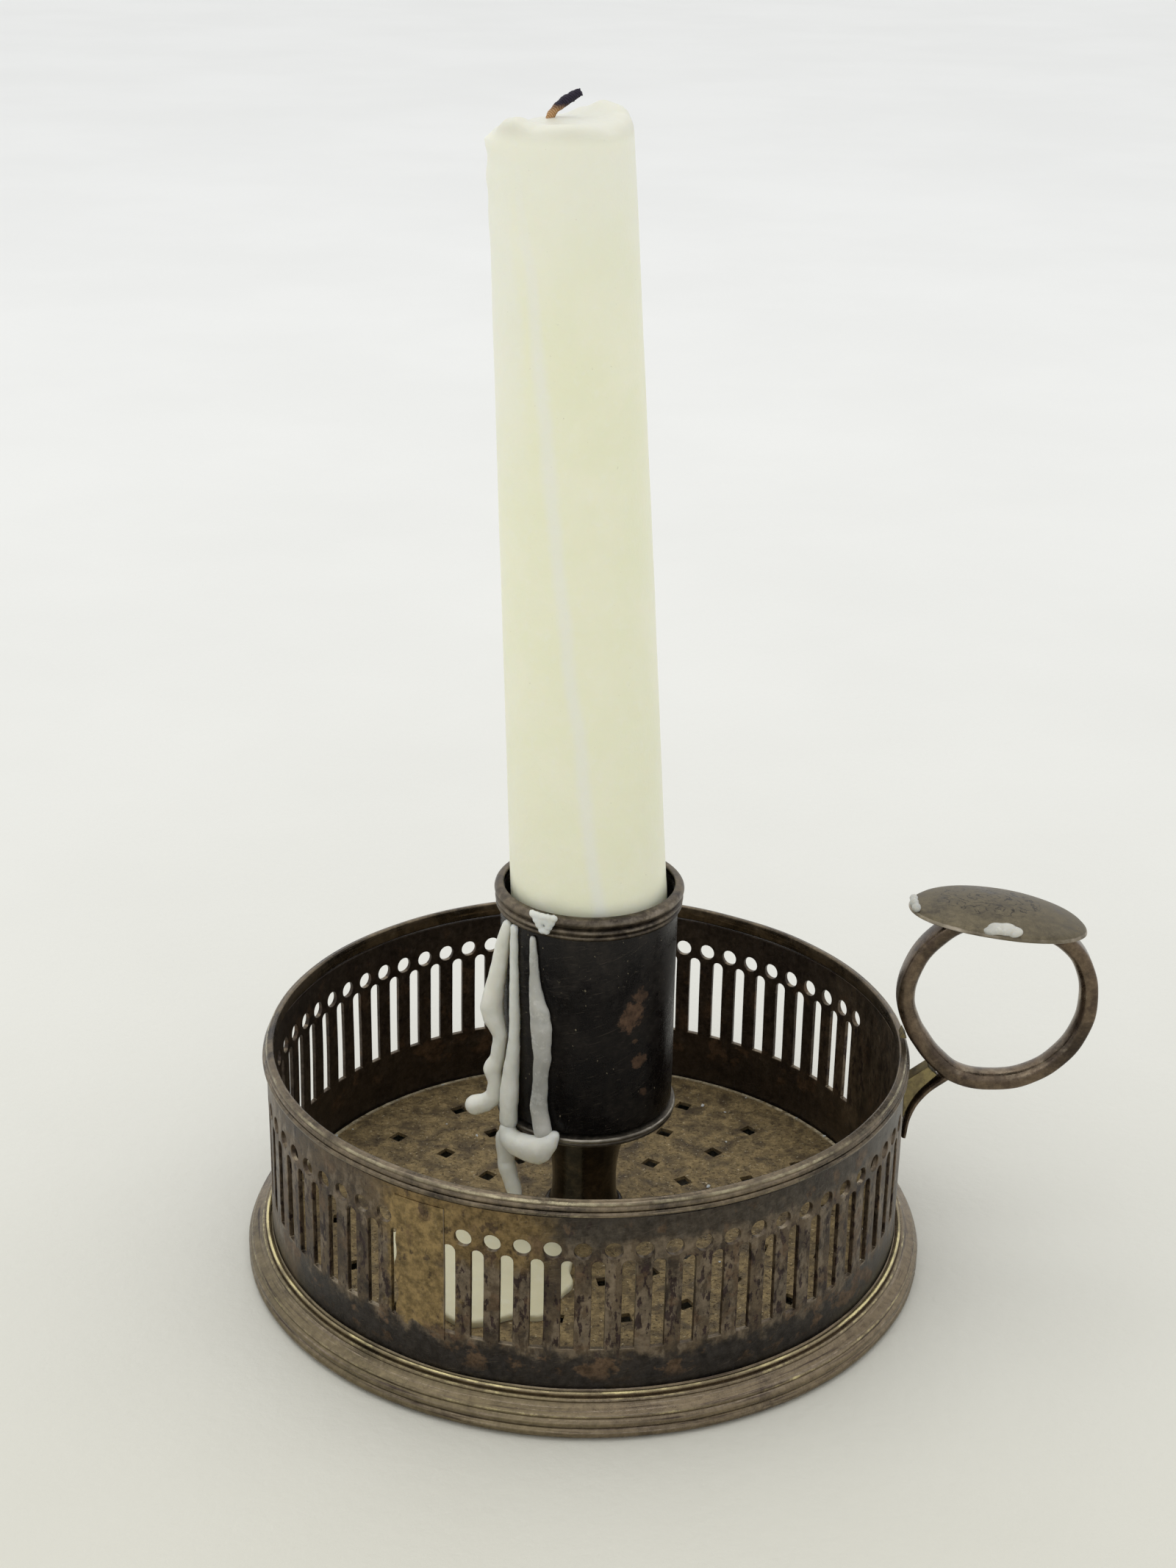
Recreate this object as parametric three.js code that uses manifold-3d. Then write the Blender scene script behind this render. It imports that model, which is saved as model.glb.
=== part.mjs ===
// A chamber candlestick of plated copper: a pierced gallery standing on a reeded foot, a pierced floor,
// a plain socket on a spool stem, a ring handle with an oval thumb piece, and a burnt candle with its
// runs of wax. Millimetres, +Z up, +X towards the handle. The origin is on the socket's axis, in the
// plane that the foot stands on.
import * as THREE from "three";
import { mergeVertices } from "three/addons/utils/BufferGeometryUtils.js";
import Module from "manifold-3d";

const wasm = await Module();
wasm.setup();

// ---- Driving dimensions -------------------------------------------------------------------------

// Space left between two pieces that are soldered, seated or laid against each other.
const SEAT = 0.3;
const SHEET = 0.7;

const GALLERY_RADIUS = 46;
const GALLERY_HEIGHT = 34.5;
const GALLERY_SEGMENTS = 72;
const RIM_HEIGHT = 2.2;
const RIM_PROUD = 0.6;
const RIM_INSET = 0.3;

const FOOT_SPREAD = 3.6;
const FOOT_HEIGHT = 5.9;
const FOOT_LEDGE_WIDTH = 2.7;
const FOOT_STAND_WIDTH = 2.1;

const FLOOR_TOP = 3.6;
const FLOOR_SHEET = 0.6;

const PIERCING_COUNT = 72;
const SLOT_WIDTH = 1.8;
const SLOT_BOTTOM = 11.9;
const SLOT_TOP_BELOW_RIM = 9;
const HOLE_RADIUS = 1.22;
const HOLE_BELOW_RIM = 6.28;
const PLAIN_BEHIND_HANDLE = [-13.5, 23.5];
const SEAM_SPAN = [-122.5, -113.2];

// The rings of air holes through the floor, each at its own distance in from the floor's edge and
// punched from its own starting angle.
const VENT_RINGS = [
  { inset: 27, count: 16, start: 10.2 },
  { inset: 17.8, count: 18, start: 2.3 },
  { inset: 8.8, count: 18, start: 4 },
];
const VENT_WIDTH = 2.2;
const VENT_LENGTH = 2;

const SOCKET_BORE = 11.9;
const SOCKET_SHEET = 0.6;
const SOCKET_BOTTOM = 24.5;
const SOCKET_TOP = 58.5;
const SOCKET_RIM_HEIGHT = 3.3;
const SOCKET_RIM_PROUD = 0.6;
const SOCKET_LIP = 0.5;
const SOCKET_BASE_THICKNESS = 0.8;
const SOCKET_BEAD_HEIGHT = 1.6;
const SOCKET_BEAD_PROUD = 0.6;

const STEM_FOOT_RADIUS = 6.4;
const STEM_NECK_RADIUS = 4.8;
const STEM_TOP_RADIUS = 9;

const RIVET_RADIUS = 1.6;
const RIVET_HEAD_RADIUS = 4.5;
const RIVET_HEAD_THICKNESS = 0.9;
const RIVET_RAISED = 0.5;
const WASHER_RADIUS = 6;

const CANDLE_TOP = 164;
const CANDLE_CLEARANCE = 0.85;
const CANDLE_TAPER = 1.95;
const CANDLE_LEAN = THREE.MathUtils.degToRad(2.85);
const CANDLE_PLAY = 0.4;
const CANDLE_DISH = 1.6;
const WICK_RADIUS = 0.65;
const WICK_HEIGHT = 3.7;

const RING_RADIUS = 13.05;
const RING_CLEARANCE = 0.54;
const RING_CROWN = 0.94;
const STRAP_THICKNESS = 2.6;
const STRAP_WIDTH = 3.6;
const TAIL_THICKNESS = 1.2;
const LUG_WIDTH = 2.4;

const THUMB_LENGTH = 25.6;
const THUMB_WIDTH = 16.5;
const THUMB_THICKNESS = 1.1;
const THUMB_CROWN = 1.6;
const THUMB_TILT = THREE.MathUtils.degToRad(8.5);
const THUMB_SET_BACK = 0.75;
const THUMB_RAISED = 0.35;

const RUN_THICKNESS = 2.2;
const RUN_WIDTH = 3;
const PUDDLE_THICKNESS = 1.2;

// ---- Sizes that follow from them ----------------------------------------------------------------

const WALL_INNER = GALLERY_RADIUS - SHEET;
const RIM_BOTTOM = GALLERY_HEIGHT - RIM_HEIGHT;
const RIM_OUTER = GALLERY_RADIUS + RIM_PROUD;
const WALL_TOP = RIM_BOTTOM - SEAT;
const FLOOR_BOTTOM = FLOOR_TOP - FLOOR_SHEET;
const FOOT_LEDGE_TOP = FLOOR_BOTTOM - SEAT;
const FOOT_RADIUS = GALLERY_RADIUS + FOOT_SPREAD;

const SOCKET_OUTER = SOCKET_BORE + SOCKET_SHEET;
const SOCKET_LIP_BOTTOM = SOCKET_TOP - SOCKET_LIP;
const TUBE_TOP = SOCKET_LIP_BOTTOM - SEAT;
const SOCKET_RIM_OUTER = SOCKET_OUTER + SEAT + SOCKET_RIM_PROUD;
const SOCKET_BASE_TOP = SOCKET_BOTTOM - SEAT;
const SOCKET_BASE_BOTTOM = SOCKET_BASE_TOP - SOCKET_BASE_THICKNESS;
const SOCKET_BEAD_RADIUS = SOCKET_OUTER + SOCKET_BEAD_PROUD;
const STEM_BOTTOM = FLOOR_TOP + SEAT;
const STEM_TOP = SOCKET_BASE_BOTTOM - SEAT;
const RIVET_BORE = RIVET_RADIUS + SEAT;
const RIVET_TOP = SOCKET_BASE_TOP + SEAT + RIVET_HEAD_THICKNESS;
const CANDLE_BOTTOM = RIVET_TOP + SEAT;
const CANDLE_RADIUS = SOCKET_BORE - CANDLE_CLEARANCE;
const CANDLE_TOP_RADIUS = CANDLE_RADIUS - CANDLE_TAPER;

const SLOT_TOP = GALLERY_HEIGHT - SLOT_TOP_BELOW_RIM;
const HOLE_HEIGHT = GALLERY_HEIGHT - HOLE_BELOW_RIM - HOLE_RADIUS;

// ---- Materials ----------------------------------------------------------------------------------

function metal(color, roughness) {
  return new THREE.MeshStandardMaterial({ color, roughness, metalness: 0.9 });
}

function soft(color, roughness) {
  return new THREE.MeshStandardMaterial({ color, roughness, metalness: 0 });
}

const tarnished = metal(0x6b5a45, 0.45);
const darkened = metal(0x2a2522, 0.25);
const bared = metal(0x8f7c45, 0.5);
const waxen = soft(0xdedebe, 0.4);
const dripped = soft(0xc9ccc0, 0.35);
const charred = soft(0x2b1d1a, 0.9);

// ---- Helpers ------------------------------------------------------------------------------------

const group = new THREE.Group();

function place(name, geometry, material) {
  const mesh = new THREE.Mesh(geometry, material);
  mesh.name = name;
  group.add(mesh);
  return mesh;
}

// Turns a profile of [radius, height] points about the Z axis. A hollow piece's profile closes on itself.
function turned(profile, segments, closed = true) {
  const points = profile.map(([radius, height]) => new THREE.Vector2(radius, height));
  if (closed) points.push(points[0].clone());
  return new THREE.LatheGeometry(points, segments).rotateX(Math.PI / 2);
}

function toSolid(geometry) {
  const bare = geometry.index ? geometry.toNonIndexed() : geometry.clone();
  bare.deleteAttribute("normal");
  bare.deleteAttribute("uv");
  const merged = mergeVertices(bare, 1e-4);
  const vertProperties = merged.attributes.position.array;
  const triVerts = new Uint32Array(merged.index.array);
  return new wasm.Manifold(new wasm.Mesh({ numProp: 3, vertProperties, triVerts }));
}

function toGeometry(solid) {
  const mesh = solid.getMesh();
  const geometry = new THREE.BufferGeometry();
  geometry.setAttribute("position", new THREE.BufferAttribute(mesh.vertProperties, 3));
  geometry.setIndex(new THREE.BufferAttribute(mesh.triVerts, 1));
  geometry.computeVertexNormals();
  return geometry;
}

function cut(geometry, cutters) {
  let solid = toSolid(geometry);
  for (const cutter of cutters) {
    solid = solid.subtract(toSolid(cutter));
  }
  return toGeometry(solid);
}

function polygon(points) {
  return new THREE.Shape(points.map(([x, y]) => new THREE.Vector2(x, y)));
}

// Stands an extruded outline so that its X runs round the axis, its Y up and its depth outwards.
function facingOut(geometry, radius, azimuth) {
  const stand = new THREE.Matrix4().makeBasis(
    new THREE.Vector3(0, 1, 0),
    new THREE.Vector3(0, 0, 1),
    new THREE.Vector3(1, 0, 0),
  );
  geometry.applyMatrix4(stand);
  geometry.translate(radius, 0, 0);
  return geometry.rotateZ(THREE.MathUtils.degToRad(azimuth));
}

// A plate in the XZ plane, centred on y = 0.
function uprightPlate(shape, width, options = {}) {
  const geometry = new THREE.ExtrudeGeometry(shape, { depth: width, bevelEnabled: false, ...options });
  return geometry.translate(0, 0, -width / 2).rotateX(Math.PI / 2);
}

function within(angle, [from, to]) {
  return angle > from && angle < to;
}

function polar(radius, azimuth, height) {
  const angle = THREE.MathUtils.degToRad(azimuth);
  return new THREE.Vector3(radius * Math.cos(angle), radius * Math.sin(angle), height);
}

// ---- Foot, floor and gallery --------------------------------------------------------------------

function footRim() {
  const fit = GALLERY_RADIUS + SEAT;
  const ledge = GALLERY_RADIUS - FOOT_LEDGE_WIDTH;
  const shoulder = (fit + FOOT_RADIUS) / 2;
  const profile = [
    [FOOT_RADIUS - 1 - FOOT_STAND_WIDTH, 0],
    [FOOT_RADIUS - 1, 0],
    [FOOT_RADIUS - 0.2, 0.7],
    [FOOT_RADIUS, 2.2],
    [FOOT_RADIUS - 0.4, 3.4],
    [shoulder, FOOT_HEIGHT - 1.4],
    [fit + 0.7, FOOT_HEIGHT - 0.3],
    [fit, FOOT_HEIGHT],
    [fit, FOOT_LEDGE_TOP],
    [ledge, FOOT_LEDGE_TOP],
    [ledge, FOOT_LEDGE_TOP - FLOOR_SHEET],
    [fit - 0.6, FOOT_LEDGE_TOP - FLOOR_SHEET],
  ];
  return turned(profile, GALLERY_SEGMENTS);
}

function ventCutter(radius, azimuth) {
  const vent = new THREE.BoxGeometry(VENT_LENGTH, VENT_WIDTH, FLOOR_SHEET * 4);
  vent.translate(radius, 0, (FLOOR_TOP + FLOOR_BOTTOM) / 2);
  return vent.rotateZ(THREE.MathUtils.degToRad(azimuth));
}

function floorPlate() {
  const edge = WALL_INNER - SEAT;
  const plate = turned(
    [
      [RIVET_BORE, FLOOR_BOTTOM],
      [edge, FLOOR_BOTTOM],
      [edge, FLOOR_TOP],
      [RIVET_BORE, FLOOR_TOP],
    ],
    GALLERY_SEGMENTS,
  );
  const vents = [];
  for (const { inset, count, start } of VENT_RINGS) {
    for (let vent = 0; vent < count; vent++) {
      vents.push(ventCutter(edge - inset, start + (vent * 360) / count));
    }
  }
  return cut(plate, vents);
}

function slotShape() {
  const half = SLOT_WIDTH / 2;
  const shape = new THREE.Shape();
  shape.moveTo(-half, SLOT_BOTTOM);
  shape.lineTo(half, SLOT_BOTTOM);
  shape.absarc(0, SLOT_TOP - half, half, 0, Math.PI, false);
  shape.closePath();
  return shape;
}

function holeShape() {
  const shape = new THREE.Shape();
  shape.absarc(0, HOLE_HEIGHT, HOLE_RADIUS, 0, 2 * Math.PI, false);
  return shape;
}

// A slot stands between each pair of holes. The metal is left whole behind the handle and at the seam.
function galleryWall() {
  const wall = turned(
    [
      [WALL_INNER, FLOOR_BOTTOM],
      [GALLERY_RADIUS, FLOOR_BOTTOM],
      [GALLERY_RADIUS, WALL_TOP],
      [WALL_INNER, WALL_TOP],
    ],
    GALLERY_SEGMENTS,
  );
  const depth = SHEET * 4;
  const pitch = 360 / PIERCING_COUNT;
  const cutters = [];
  for (let index = 0; index < PIERCING_COUNT; index++) {
    const holeAngle = -180 + index * pitch;
    const slotAngle = holeAngle + pitch / 2;
    const inner = WALL_INNER - SHEET;
    if (!within(holeAngle, PLAIN_BEHIND_HANDLE) && !within(holeAngle, SEAM_SPAN)) {
      const hole = new THREE.ExtrudeGeometry(holeShape(), { depth, bevelEnabled: false, curveSegments: 4 });
      cutters.push(facingOut(hole, inner, holeAngle));
    }
    if (!within(slotAngle, PLAIN_BEHIND_HANDLE) && !within(slotAngle, SEAM_SPAN)) {
      const slot = new THREE.ExtrudeGeometry(slotShape(), { depth, bevelEnabled: false, curveSegments: 2 });
      cutters.push(facingOut(slot, inner, slotAngle));
    }
  }
  return cut(wall, cutters);
}

function galleryRim() {
  const inner = WALL_INNER - RIM_INSET;
  const profile = [
    [inner, RIM_BOTTOM],
    [RIM_OUTER - 0.4, RIM_BOTTOM],
    [RIM_OUTER, RIM_BOTTOM + 0.5],
    [RIM_OUTER - 0.2, RIM_BOTTOM + 1.3],
    [RIM_OUTER - 0.8, GALLERY_HEIGHT],
    [inner + 0.6, GALLERY_HEIGHT],
    [inner, GALLERY_HEIGHT - 0.5],
  ];
  return turned(profile, GALLERY_SEGMENTS);
}

// The lap that covers the joint of the gallery's strip, soldered to its outside.
function seamStrip() {
  const inner = GALLERY_RADIUS + SEAT;
  const bottom = FOOT_HEIGHT + SEAT;
  const top = HOLE_HEIGHT;
  const [from, to] = SEAM_SPAN.map(THREE.MathUtils.degToRad);
  const steps = 4;
  const strip = new THREE.Shape();
  strip.absarc(0, 0, inner + SHEET, from, to, false);
  strip.absarc(0, 0, inner, to, from, true);
  strip.closePath();
  const options = { depth: top - bottom, bevelEnabled: false, curveSegments: steps };
  return new THREE.ExtrudeGeometry(strip, options).translate(0, 0, bottom);
}

// ---- Socket and stem ----------------------------------------------------------------------------

const SOCKET_SEGMENTS = 40;

function socketTube() {
  const profile = [
    [SOCKET_BORE, SOCKET_BOTTOM],
    [SOCKET_OUTER, SOCKET_BOTTOM],
    [SOCKET_OUTER, TUBE_TOP],
    [SOCKET_BORE, TUBE_TOP],
  ];
  return turned(profile, SOCKET_SEGMENTS);
}

function socketRim() {
  const fit = SOCKET_OUTER + SEAT;
  const bottom = SOCKET_TOP - SOCKET_RIM_HEIGHT;
  const profile = [
    [fit, bottom],
    [SOCKET_RIM_OUTER - 0.2, bottom],
    [SOCKET_RIM_OUTER, bottom + 0.6],
    [SOCKET_RIM_OUTER, SOCKET_TOP - 0.7],
    [SOCKET_RIM_OUTER - 0.5, SOCKET_TOP],
    [SOCKET_BORE + 0.4, SOCKET_TOP],
    [SOCKET_BORE + 0.1, SOCKET_LIP_BOTTOM],
    [fit, SOCKET_LIP_BOTTOM],
  ];
  return turned(profile, SOCKET_SEGMENTS);
}

// The plate under the tube, with a beaded edge.
function socketBase() {
  const edge = SOCKET_BEAD_RADIUS;
  const beadTop = SOCKET_BASE_TOP;
  const beadBottom = beadTop - SOCKET_BEAD_HEIGHT;
  const profile = [
    [RIVET_BORE, SOCKET_BASE_BOTTOM],
    [edge - 1.5, SOCKET_BASE_BOTTOM],
    [edge - 1, beadBottom],
    [edge - 0.3, beadBottom],
    [edge, (beadTop + beadBottom) / 2],
    [edge - 0.3, beadTop],
    [RIVET_BORE, SOCKET_BASE_TOP],
  ];
  return turned(profile, SOCKET_SEGMENTS);
}

function stem() {
  const height = STEM_TOP - STEM_BOTTOM;
  const profile = [
    [RIVET_BORE, STEM_BOTTOM],
    [STEM_FOOT_RADIUS, STEM_BOTTOM],
    [STEM_FOOT_RADIUS - 0.4, STEM_BOTTOM + height * 0.12],
    [STEM_NECK_RADIUS + 0.2, STEM_BOTTOM + height * 0.23],
    [STEM_NECK_RADIUS, STEM_BOTTOM + height * 0.38],
    [STEM_NECK_RADIUS + 0.5, STEM_BOTTOM + height * 0.6],
    [STEM_NECK_RADIUS + 1.9, STEM_BOTTOM + height * 0.82],
    [STEM_TOP_RADIUS, STEM_TOP],
    [RIVET_BORE, STEM_TOP],
  ];
  return turned(profile, 32);
}

// Draws the socket, stem and floor together: one head inside the socket, the other under the washer.
function centreRivet() {
  const headTop = RIVET_RAISED + RIVET_HEAD_THICKNESS;
  const profile = [
    [0, RIVET_RAISED],
    [RIVET_HEAD_RADIUS - 0.4, RIVET_RAISED],
    [RIVET_HEAD_RADIUS, headTop],
    [RIVET_RADIUS, headTop],
    [RIVET_RADIUS, RIVET_TOP - RIVET_HEAD_THICKNESS],
    [RIVET_HEAD_RADIUS - 1, RIVET_TOP - RIVET_HEAD_THICKNESS],
    [RIVET_HEAD_RADIUS - 1.5, RIVET_TOP],
    [0, RIVET_TOP],
  ];
  return turned(profile, 24, false);
}

function rivetWasher() {
  const bottom = RIVET_RAISED + RIVET_HEAD_THICKNESS + SEAT;
  const top = FLOOR_BOTTOM - SEAT;
  const profile = [
    [RIVET_BORE, bottom],
    [WASHER_RADIUS, bottom],
    [WASHER_RADIUS, top],
    [RIVET_BORE, top],
  ];
  return turned(profile, 24);
}

// ---- Candle -------------------------------------------------------------------------------------

// The candle leans towards -X in its socket. Its axis crosses the socket's near the mouth.
const candleCrossing = SOCKET_TOP - SOCKET_RIM_HEIGHT;
const candleLength = (CANDLE_TOP - CANDLE_BOTTOM) / Math.cos(CANDLE_LEAN);

function alongCandle(geometry) {
  const buttOffset = (candleCrossing - CANDLE_BOTTOM) * Math.tan(CANDLE_LEAN);
  return geometry.rotateY(-CANDLE_LEAN).translate(buttOffset, 0, CANDLE_BOTTOM);
}

// The largest radius that the leaning candle can have at a depth in the bore, with play all round.
function candleRoom(depth) {
  const offset = (depth - SOCKET_RIM_HEIGHT) * Math.tan(CANDLE_LEAN);
  return Math.min(CANDLE_RADIUS, SOCKET_BORE - CANDLE_PLAY - Math.abs(offset));
}

// Its butt is pared down to go into the bore.
function candle() {
  const depth = SOCKET_TOP - CANDLE_BOTTOM;
  const raise = 0.8;
  const profile = [
    [0, raise],
    [candleRoom(depth) - 0.8, raise],
    [candleRoom(depth), raise + 0.8],
    [candleRoom(depth * 0.5), depth * 0.5],
    [candleRoom(SOCKET_RIM_HEIGHT), depth - SOCKET_RIM_HEIGHT],
    [candleRoom(0), depth],
    [CANDLE_TOP_RADIUS + 0.3, candleLength - 12],
    [CANDLE_TOP_RADIUS, candleLength - 0.6],
    [CANDLE_TOP_RADIUS - 0.6, candleLength],
    [CANDLE_TOP_RADIUS - 1.8, candleLength - 0.3],
    [3, candleLength - CANDLE_DISH + 0.2],
    [0, candleLength - CANDLE_DISH],
  ];
  return alongCandle(turned(profile, 40, false));
}

function wick() {
  const start = candleLength - CANDLE_DISH + SEAT;
  const route = new THREE.CatmullRomCurve3([
    new THREE.Vector3(0, 0, start),
    new THREE.Vector3(0, 0, start + WICK_HEIGHT * 0.3),
    new THREE.Vector3(1.7, 0, start + WICK_HEIGHT * 0.75),
    new THREE.Vector3(3.6, 0, start + WICK_HEIGHT),
  ]);
  const section = new THREE.Shape();
  section.absarc(0, 0, WICK_RADIUS, 0, 2 * Math.PI, false);
  const options = { extrudePath: route, steps: 6, curveSegments: 6, bevelEnabled: false };
  return alongCandle(new THREE.ExtrudeGeometry(section, options));
}

// ---- Handle -------------------------------------------------------------------------------------

// The point of the strap's middle line that stands beside the gallery's rim, in shares of the ring's
// radius. It keeps its distance from the rim whatever the ring's size.
const BESIDE_RIM = [-0.79, -0.52];
const BESIDE_RIM_LOWERED = 0.286;
const ringX = RIM_OUTER + RING_CLEARANCE + STRAP_THICKNESS / 2 - BESIDE_RIM[0] * RING_RADIUS;
const ringZ = GALLERY_HEIGHT - BESIDE_RIM_LOWERED - BESIDE_RIM[1] * RING_RADIUS;

// The middle line of the strap, as points about the ring's centre in shares of its radius: nearly
// round, lowered to the slope of the thumb piece and kept clear of the gallery's rim.
const STRAP_ROUTE = [
  [1, 0.02],
  [0.93, 0.39],
  [0.73, 0.68],
  [0.4, 0.86],
  [0, RING_CROWN],
  [-0.36, RING_CROWN],
  [-0.7, 0.73],
  [-0.93, 0.38],
  [-1, 0],
  [-0.92, -0.3],
  BESIDE_RIM,
  [-0.62, -0.74],
  [-0.38, -0.93],
  [0.04, -1],
  [0.42, -0.92],
  [0.74, -0.68],
  [0.94, -0.35],
];

function strapOutline(curve, offset, count) {
  const points = [];
  for (let index = 0; index < count; index++) {
    const share = index / count;
    const point = curve.getPoint(share);
    const tangent = curve.getTangent(share);
    points.push(new THREE.Vector2(point.x + tangent.y * offset, point.y - tangent.x * offset));
  }
  return points;
}

// The strap starts as the tail on the gallery, goes round as the ring and ends against its own start.
function handleStrap() {
  const route = new THREE.CatmullRomCurve3(
    STRAP_ROUTE.map(([x, z]) => new THREE.Vector3(ringX + x * RING_RADIUS, ringZ + z * RING_RADIUS, 0)),
    true,
  );
  const half = STRAP_THICKNESS / 2;
  const bevel = 0.5;
  const ringShape = new THREE.Shape(strapOutline(route, half - bevel, 44));
  ringShape.holes.push(new THREE.Path(strapOutline(route, bevel - half, 44)));
  const bevels = { bevelEnabled: true, bevelSize: bevel, bevelThickness: bevel, bevelSegments: 1 };
  const ring = uprightPlate(ringShape, STRAP_WIDTH - 2 * bevel, bevels);
  const tail = uprightPlate(tailShape(), STRAP_WIDTH - 0.8);
  return toGeometry(toSolid(ring).add(toSolid(tail)));
}

// The tail's middle line runs from inside the ring's lower corner down to the gallery's wall.
function tailRoute() {
  const wall = GALLERY_RADIUS + SEAT;
  const startX = ringX - 0.5 * RING_RADIUS;
  const startZ = ringZ - 0.93 * RING_RADIUS;
  const reach = startX - wall;
  return new THREE.CatmullRomCurve3([
    new THREE.Vector3(startX, startZ, 0),
    new THREE.Vector3(wall + reach * 0.44, startZ - 3.5, 0),
    new THREE.Vector3(wall + reach * 0.17, startZ - 6.8, 0),
    new THREE.Vector3(wall + TAIL_THICKNESS * 0.35, startZ - 10.8, 0),
  ]);
}

function tailShape() {
  const route = tailRoute();
  const outer = [];
  const inner = [];
  const steps = 8;
  for (let step = 0; step <= steps; step++) {
    const point = route.getPoint(step / steps);
    const tangent = route.getTangent(step / steps);
    const half = (TAIL_THICKNESS / 2) * (1 - 0.4 * (step / steps));
    outer.push(new THREE.Vector2(point.x - tangent.y * half, point.y + tangent.x * half));
    inner.push(new THREE.Vector2(point.x + tangent.y * half, point.y - tangent.x * half));
  }
  return new THREE.Shape([...outer, ...inner.reverse()]);
}

// The part of a plate's outline that the strap leaves free, a seat's width off it.
function clearOfStrap(plate, strap) {
  let left = toSolid(plate);
  const steps = 8;
  for (let step = 0; step < steps; step++) {
    const angle = (step * 2 * Math.PI) / steps;
    const grown = SEAT * 1.1;
    left = left.subtract(strap.translate([grown * Math.cos(angle), 0, grown * Math.sin(angle)]));
  }
  const pieces = left.decompose().sort((one, other) => other.volume() - one.volume());
  return toGeometry(pieces[0]);
}

// A web that seats on the gallery's rim and meets the strap.
function upperLug(strap) {
  const seat = GALLERY_HEIGHT + SEAT;
  const left = WALL_INNER;
  const shape = polygon([
    [left - 0.1, seat],
    [left + 3.4, seat],
    [left + 2.4, seat + 1.6],
    [left + 0.3, seat + 0.9],
  ]);
  return clearOfStrap(uprightPlate(shape, LUG_WIDTH), strap);
}

// A gusset between the gallery's wall, the strap and its tail.
function lowerLug(strap) {
  const face = GALLERY_RADIUS + SEAT;
  const tipX = ringX - 0.55 * RING_RADIUS;
  const tipZ = ringZ - 0.95 * RING_RADIUS;
  const shape = polygon([
    [face, tipZ - 7],
    [tipX, tipZ],
    [tipX - 1.2, tipZ + 2.2],
    [face, tipZ - 0.9],
  ]);
  return clearOfStrap(uprightPlate(shape, LUG_WIDTH), strap);
}

// A domed oval of sheet, hollow below.
function thumbPiece() {
  const crown = (share) => THUMB_CROWN * (1 - share ** 2);
  const half = THUMB_THICKNESS / 2;
  const shares = [0, 0.3, 0.55, 0.78, 0.94];
  const under = shares.map((share) => [share, crown(share) - half]);
  const over = shares.map((share) => [share, crown(share) + half]).reverse();
  const disc = turned([...under, [1, 0], ...over], 40, false);
  return disc.scale(THUMB_LENGTH / 2, THUMB_WIDTH / 2, 1);
}

const thumbX = ringX - THUMB_SET_BACK;
const strapTop = ringZ + RING_CROWN * RING_RADIUS + STRAP_THICKNESS / 2;
const thumbZ = strapTop + SEAT + THUMB_RAISED + THUMB_THICKNESS / 2 - THUMB_CROWN;

function onThumb(geometry) {
  return geometry.rotateY(THUMB_TILT).translate(thumbX, 0, thumbZ);
}

// ---- Wax ----------------------------------------------------------------------------------------

// A run of wax: an oval section carried down the outside of the socket through points given as
// [azimuth, height, distance of its middle from the socket].
function waxRun(points, width) {
  const thick = RUN_THICKNESS / 2;
  const route = new THREE.CatmullRomCurve3(
    points.map(([azimuth, height, out]) => polar(SOCKET_OUTER + 2.5 * SEAT + thick + out, azimuth, height)),
  );
  const section = new THREE.Shape();
  section.absellipse(0, 0, thick, width / 2, 0, 2 * Math.PI, false);
  const options = { extrudePath: route, steps: 7, curveSegments: 8, bevelEnabled: false };
  return new THREE.ExtrudeGeometry(section, options);
}

// The pool where the runs gather round the beaded foot of the socket.
function waxPool(from, to, bottom, top) {
  const inner = SOCKET_BEAD_RADIUS + SEAT;
  const [start, end] = [from, to].map(THREE.MathUtils.degToRad);
  const shape = new THREE.Shape();
  shape.absarc(0, 0, inner + RUN_THICKNESS, start, end, false);
  shape.absarc(0, 0, inner, end, start, true);
  shape.closePath();
  const options = { depth: top - bottom, bevelEnabled: false, curveSegments: 6 };
  return new THREE.ExtrudeGeometry(shape, options).translate(0, 0, bottom);
}

function waxIcicle(azimuth, top, bottom) {
  const length = top - bottom;
  const profile = [
    [0, 0],
    [0.7, 0.3],
    [0.95, length * 0.4],
    [0.9, length * 0.9],
    [0.5, length],
    [0, length],
  ];
  const spot = polar(SOCKET_BEAD_RADIUS + SEAT + RUN_THICKNESS / 2, azimuth, bottom);
  return turned(profile, 10, false).translate(spot.x, spot.y, spot.z);
}

// A scale of wax on the outside of the socket's rim.
function waxScale(azimuth, width) {
  const bottom = SOCKET_TOP - SOCKET_RIM_HEIGHT;
  const shape = polygon([
    [-width / 2, bottom + 1.4],
    [width / 2, bottom + 0.2],
    [width / 2 - 0.4, SOCKET_TOP - 0.9],
    [-width / 2, SOCKET_TOP - 0.8],
  ]);
  const scale = new THREE.ExtrudeGeometry(shape, { depth: 0.8, bevelEnabled: false });
  return facingOut(scale, SOCKET_RIM_OUTER + SEAT, azimuth);
}

// The puddle on the floor, as an outline in shares of the floor's radius.
function waxPuddle() {
  const outline = [
    [-0.04, -0.2],
    [-0.01, -0.4],
    [-0.07, -0.52],
    [-0.12, -0.65],
    [-0.33, -0.69],
    [-0.46, -0.6],
    [-0.6, -0.36],
    [-0.6, -0.14],
    [-0.36, -0.2],
  ];
  const floor = WALL_INNER - SEAT;
  const shape = polygon(outline.map(([x, y]) => [x * floor, y * floor]));
  const options = { depth: PUDDLE_THICKNESS, bevelEnabled: false };
  return new THREE.ExtrudeGeometry(shape, options).translate(0, 0, FLOOR_TOP + SEAT);
}

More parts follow.
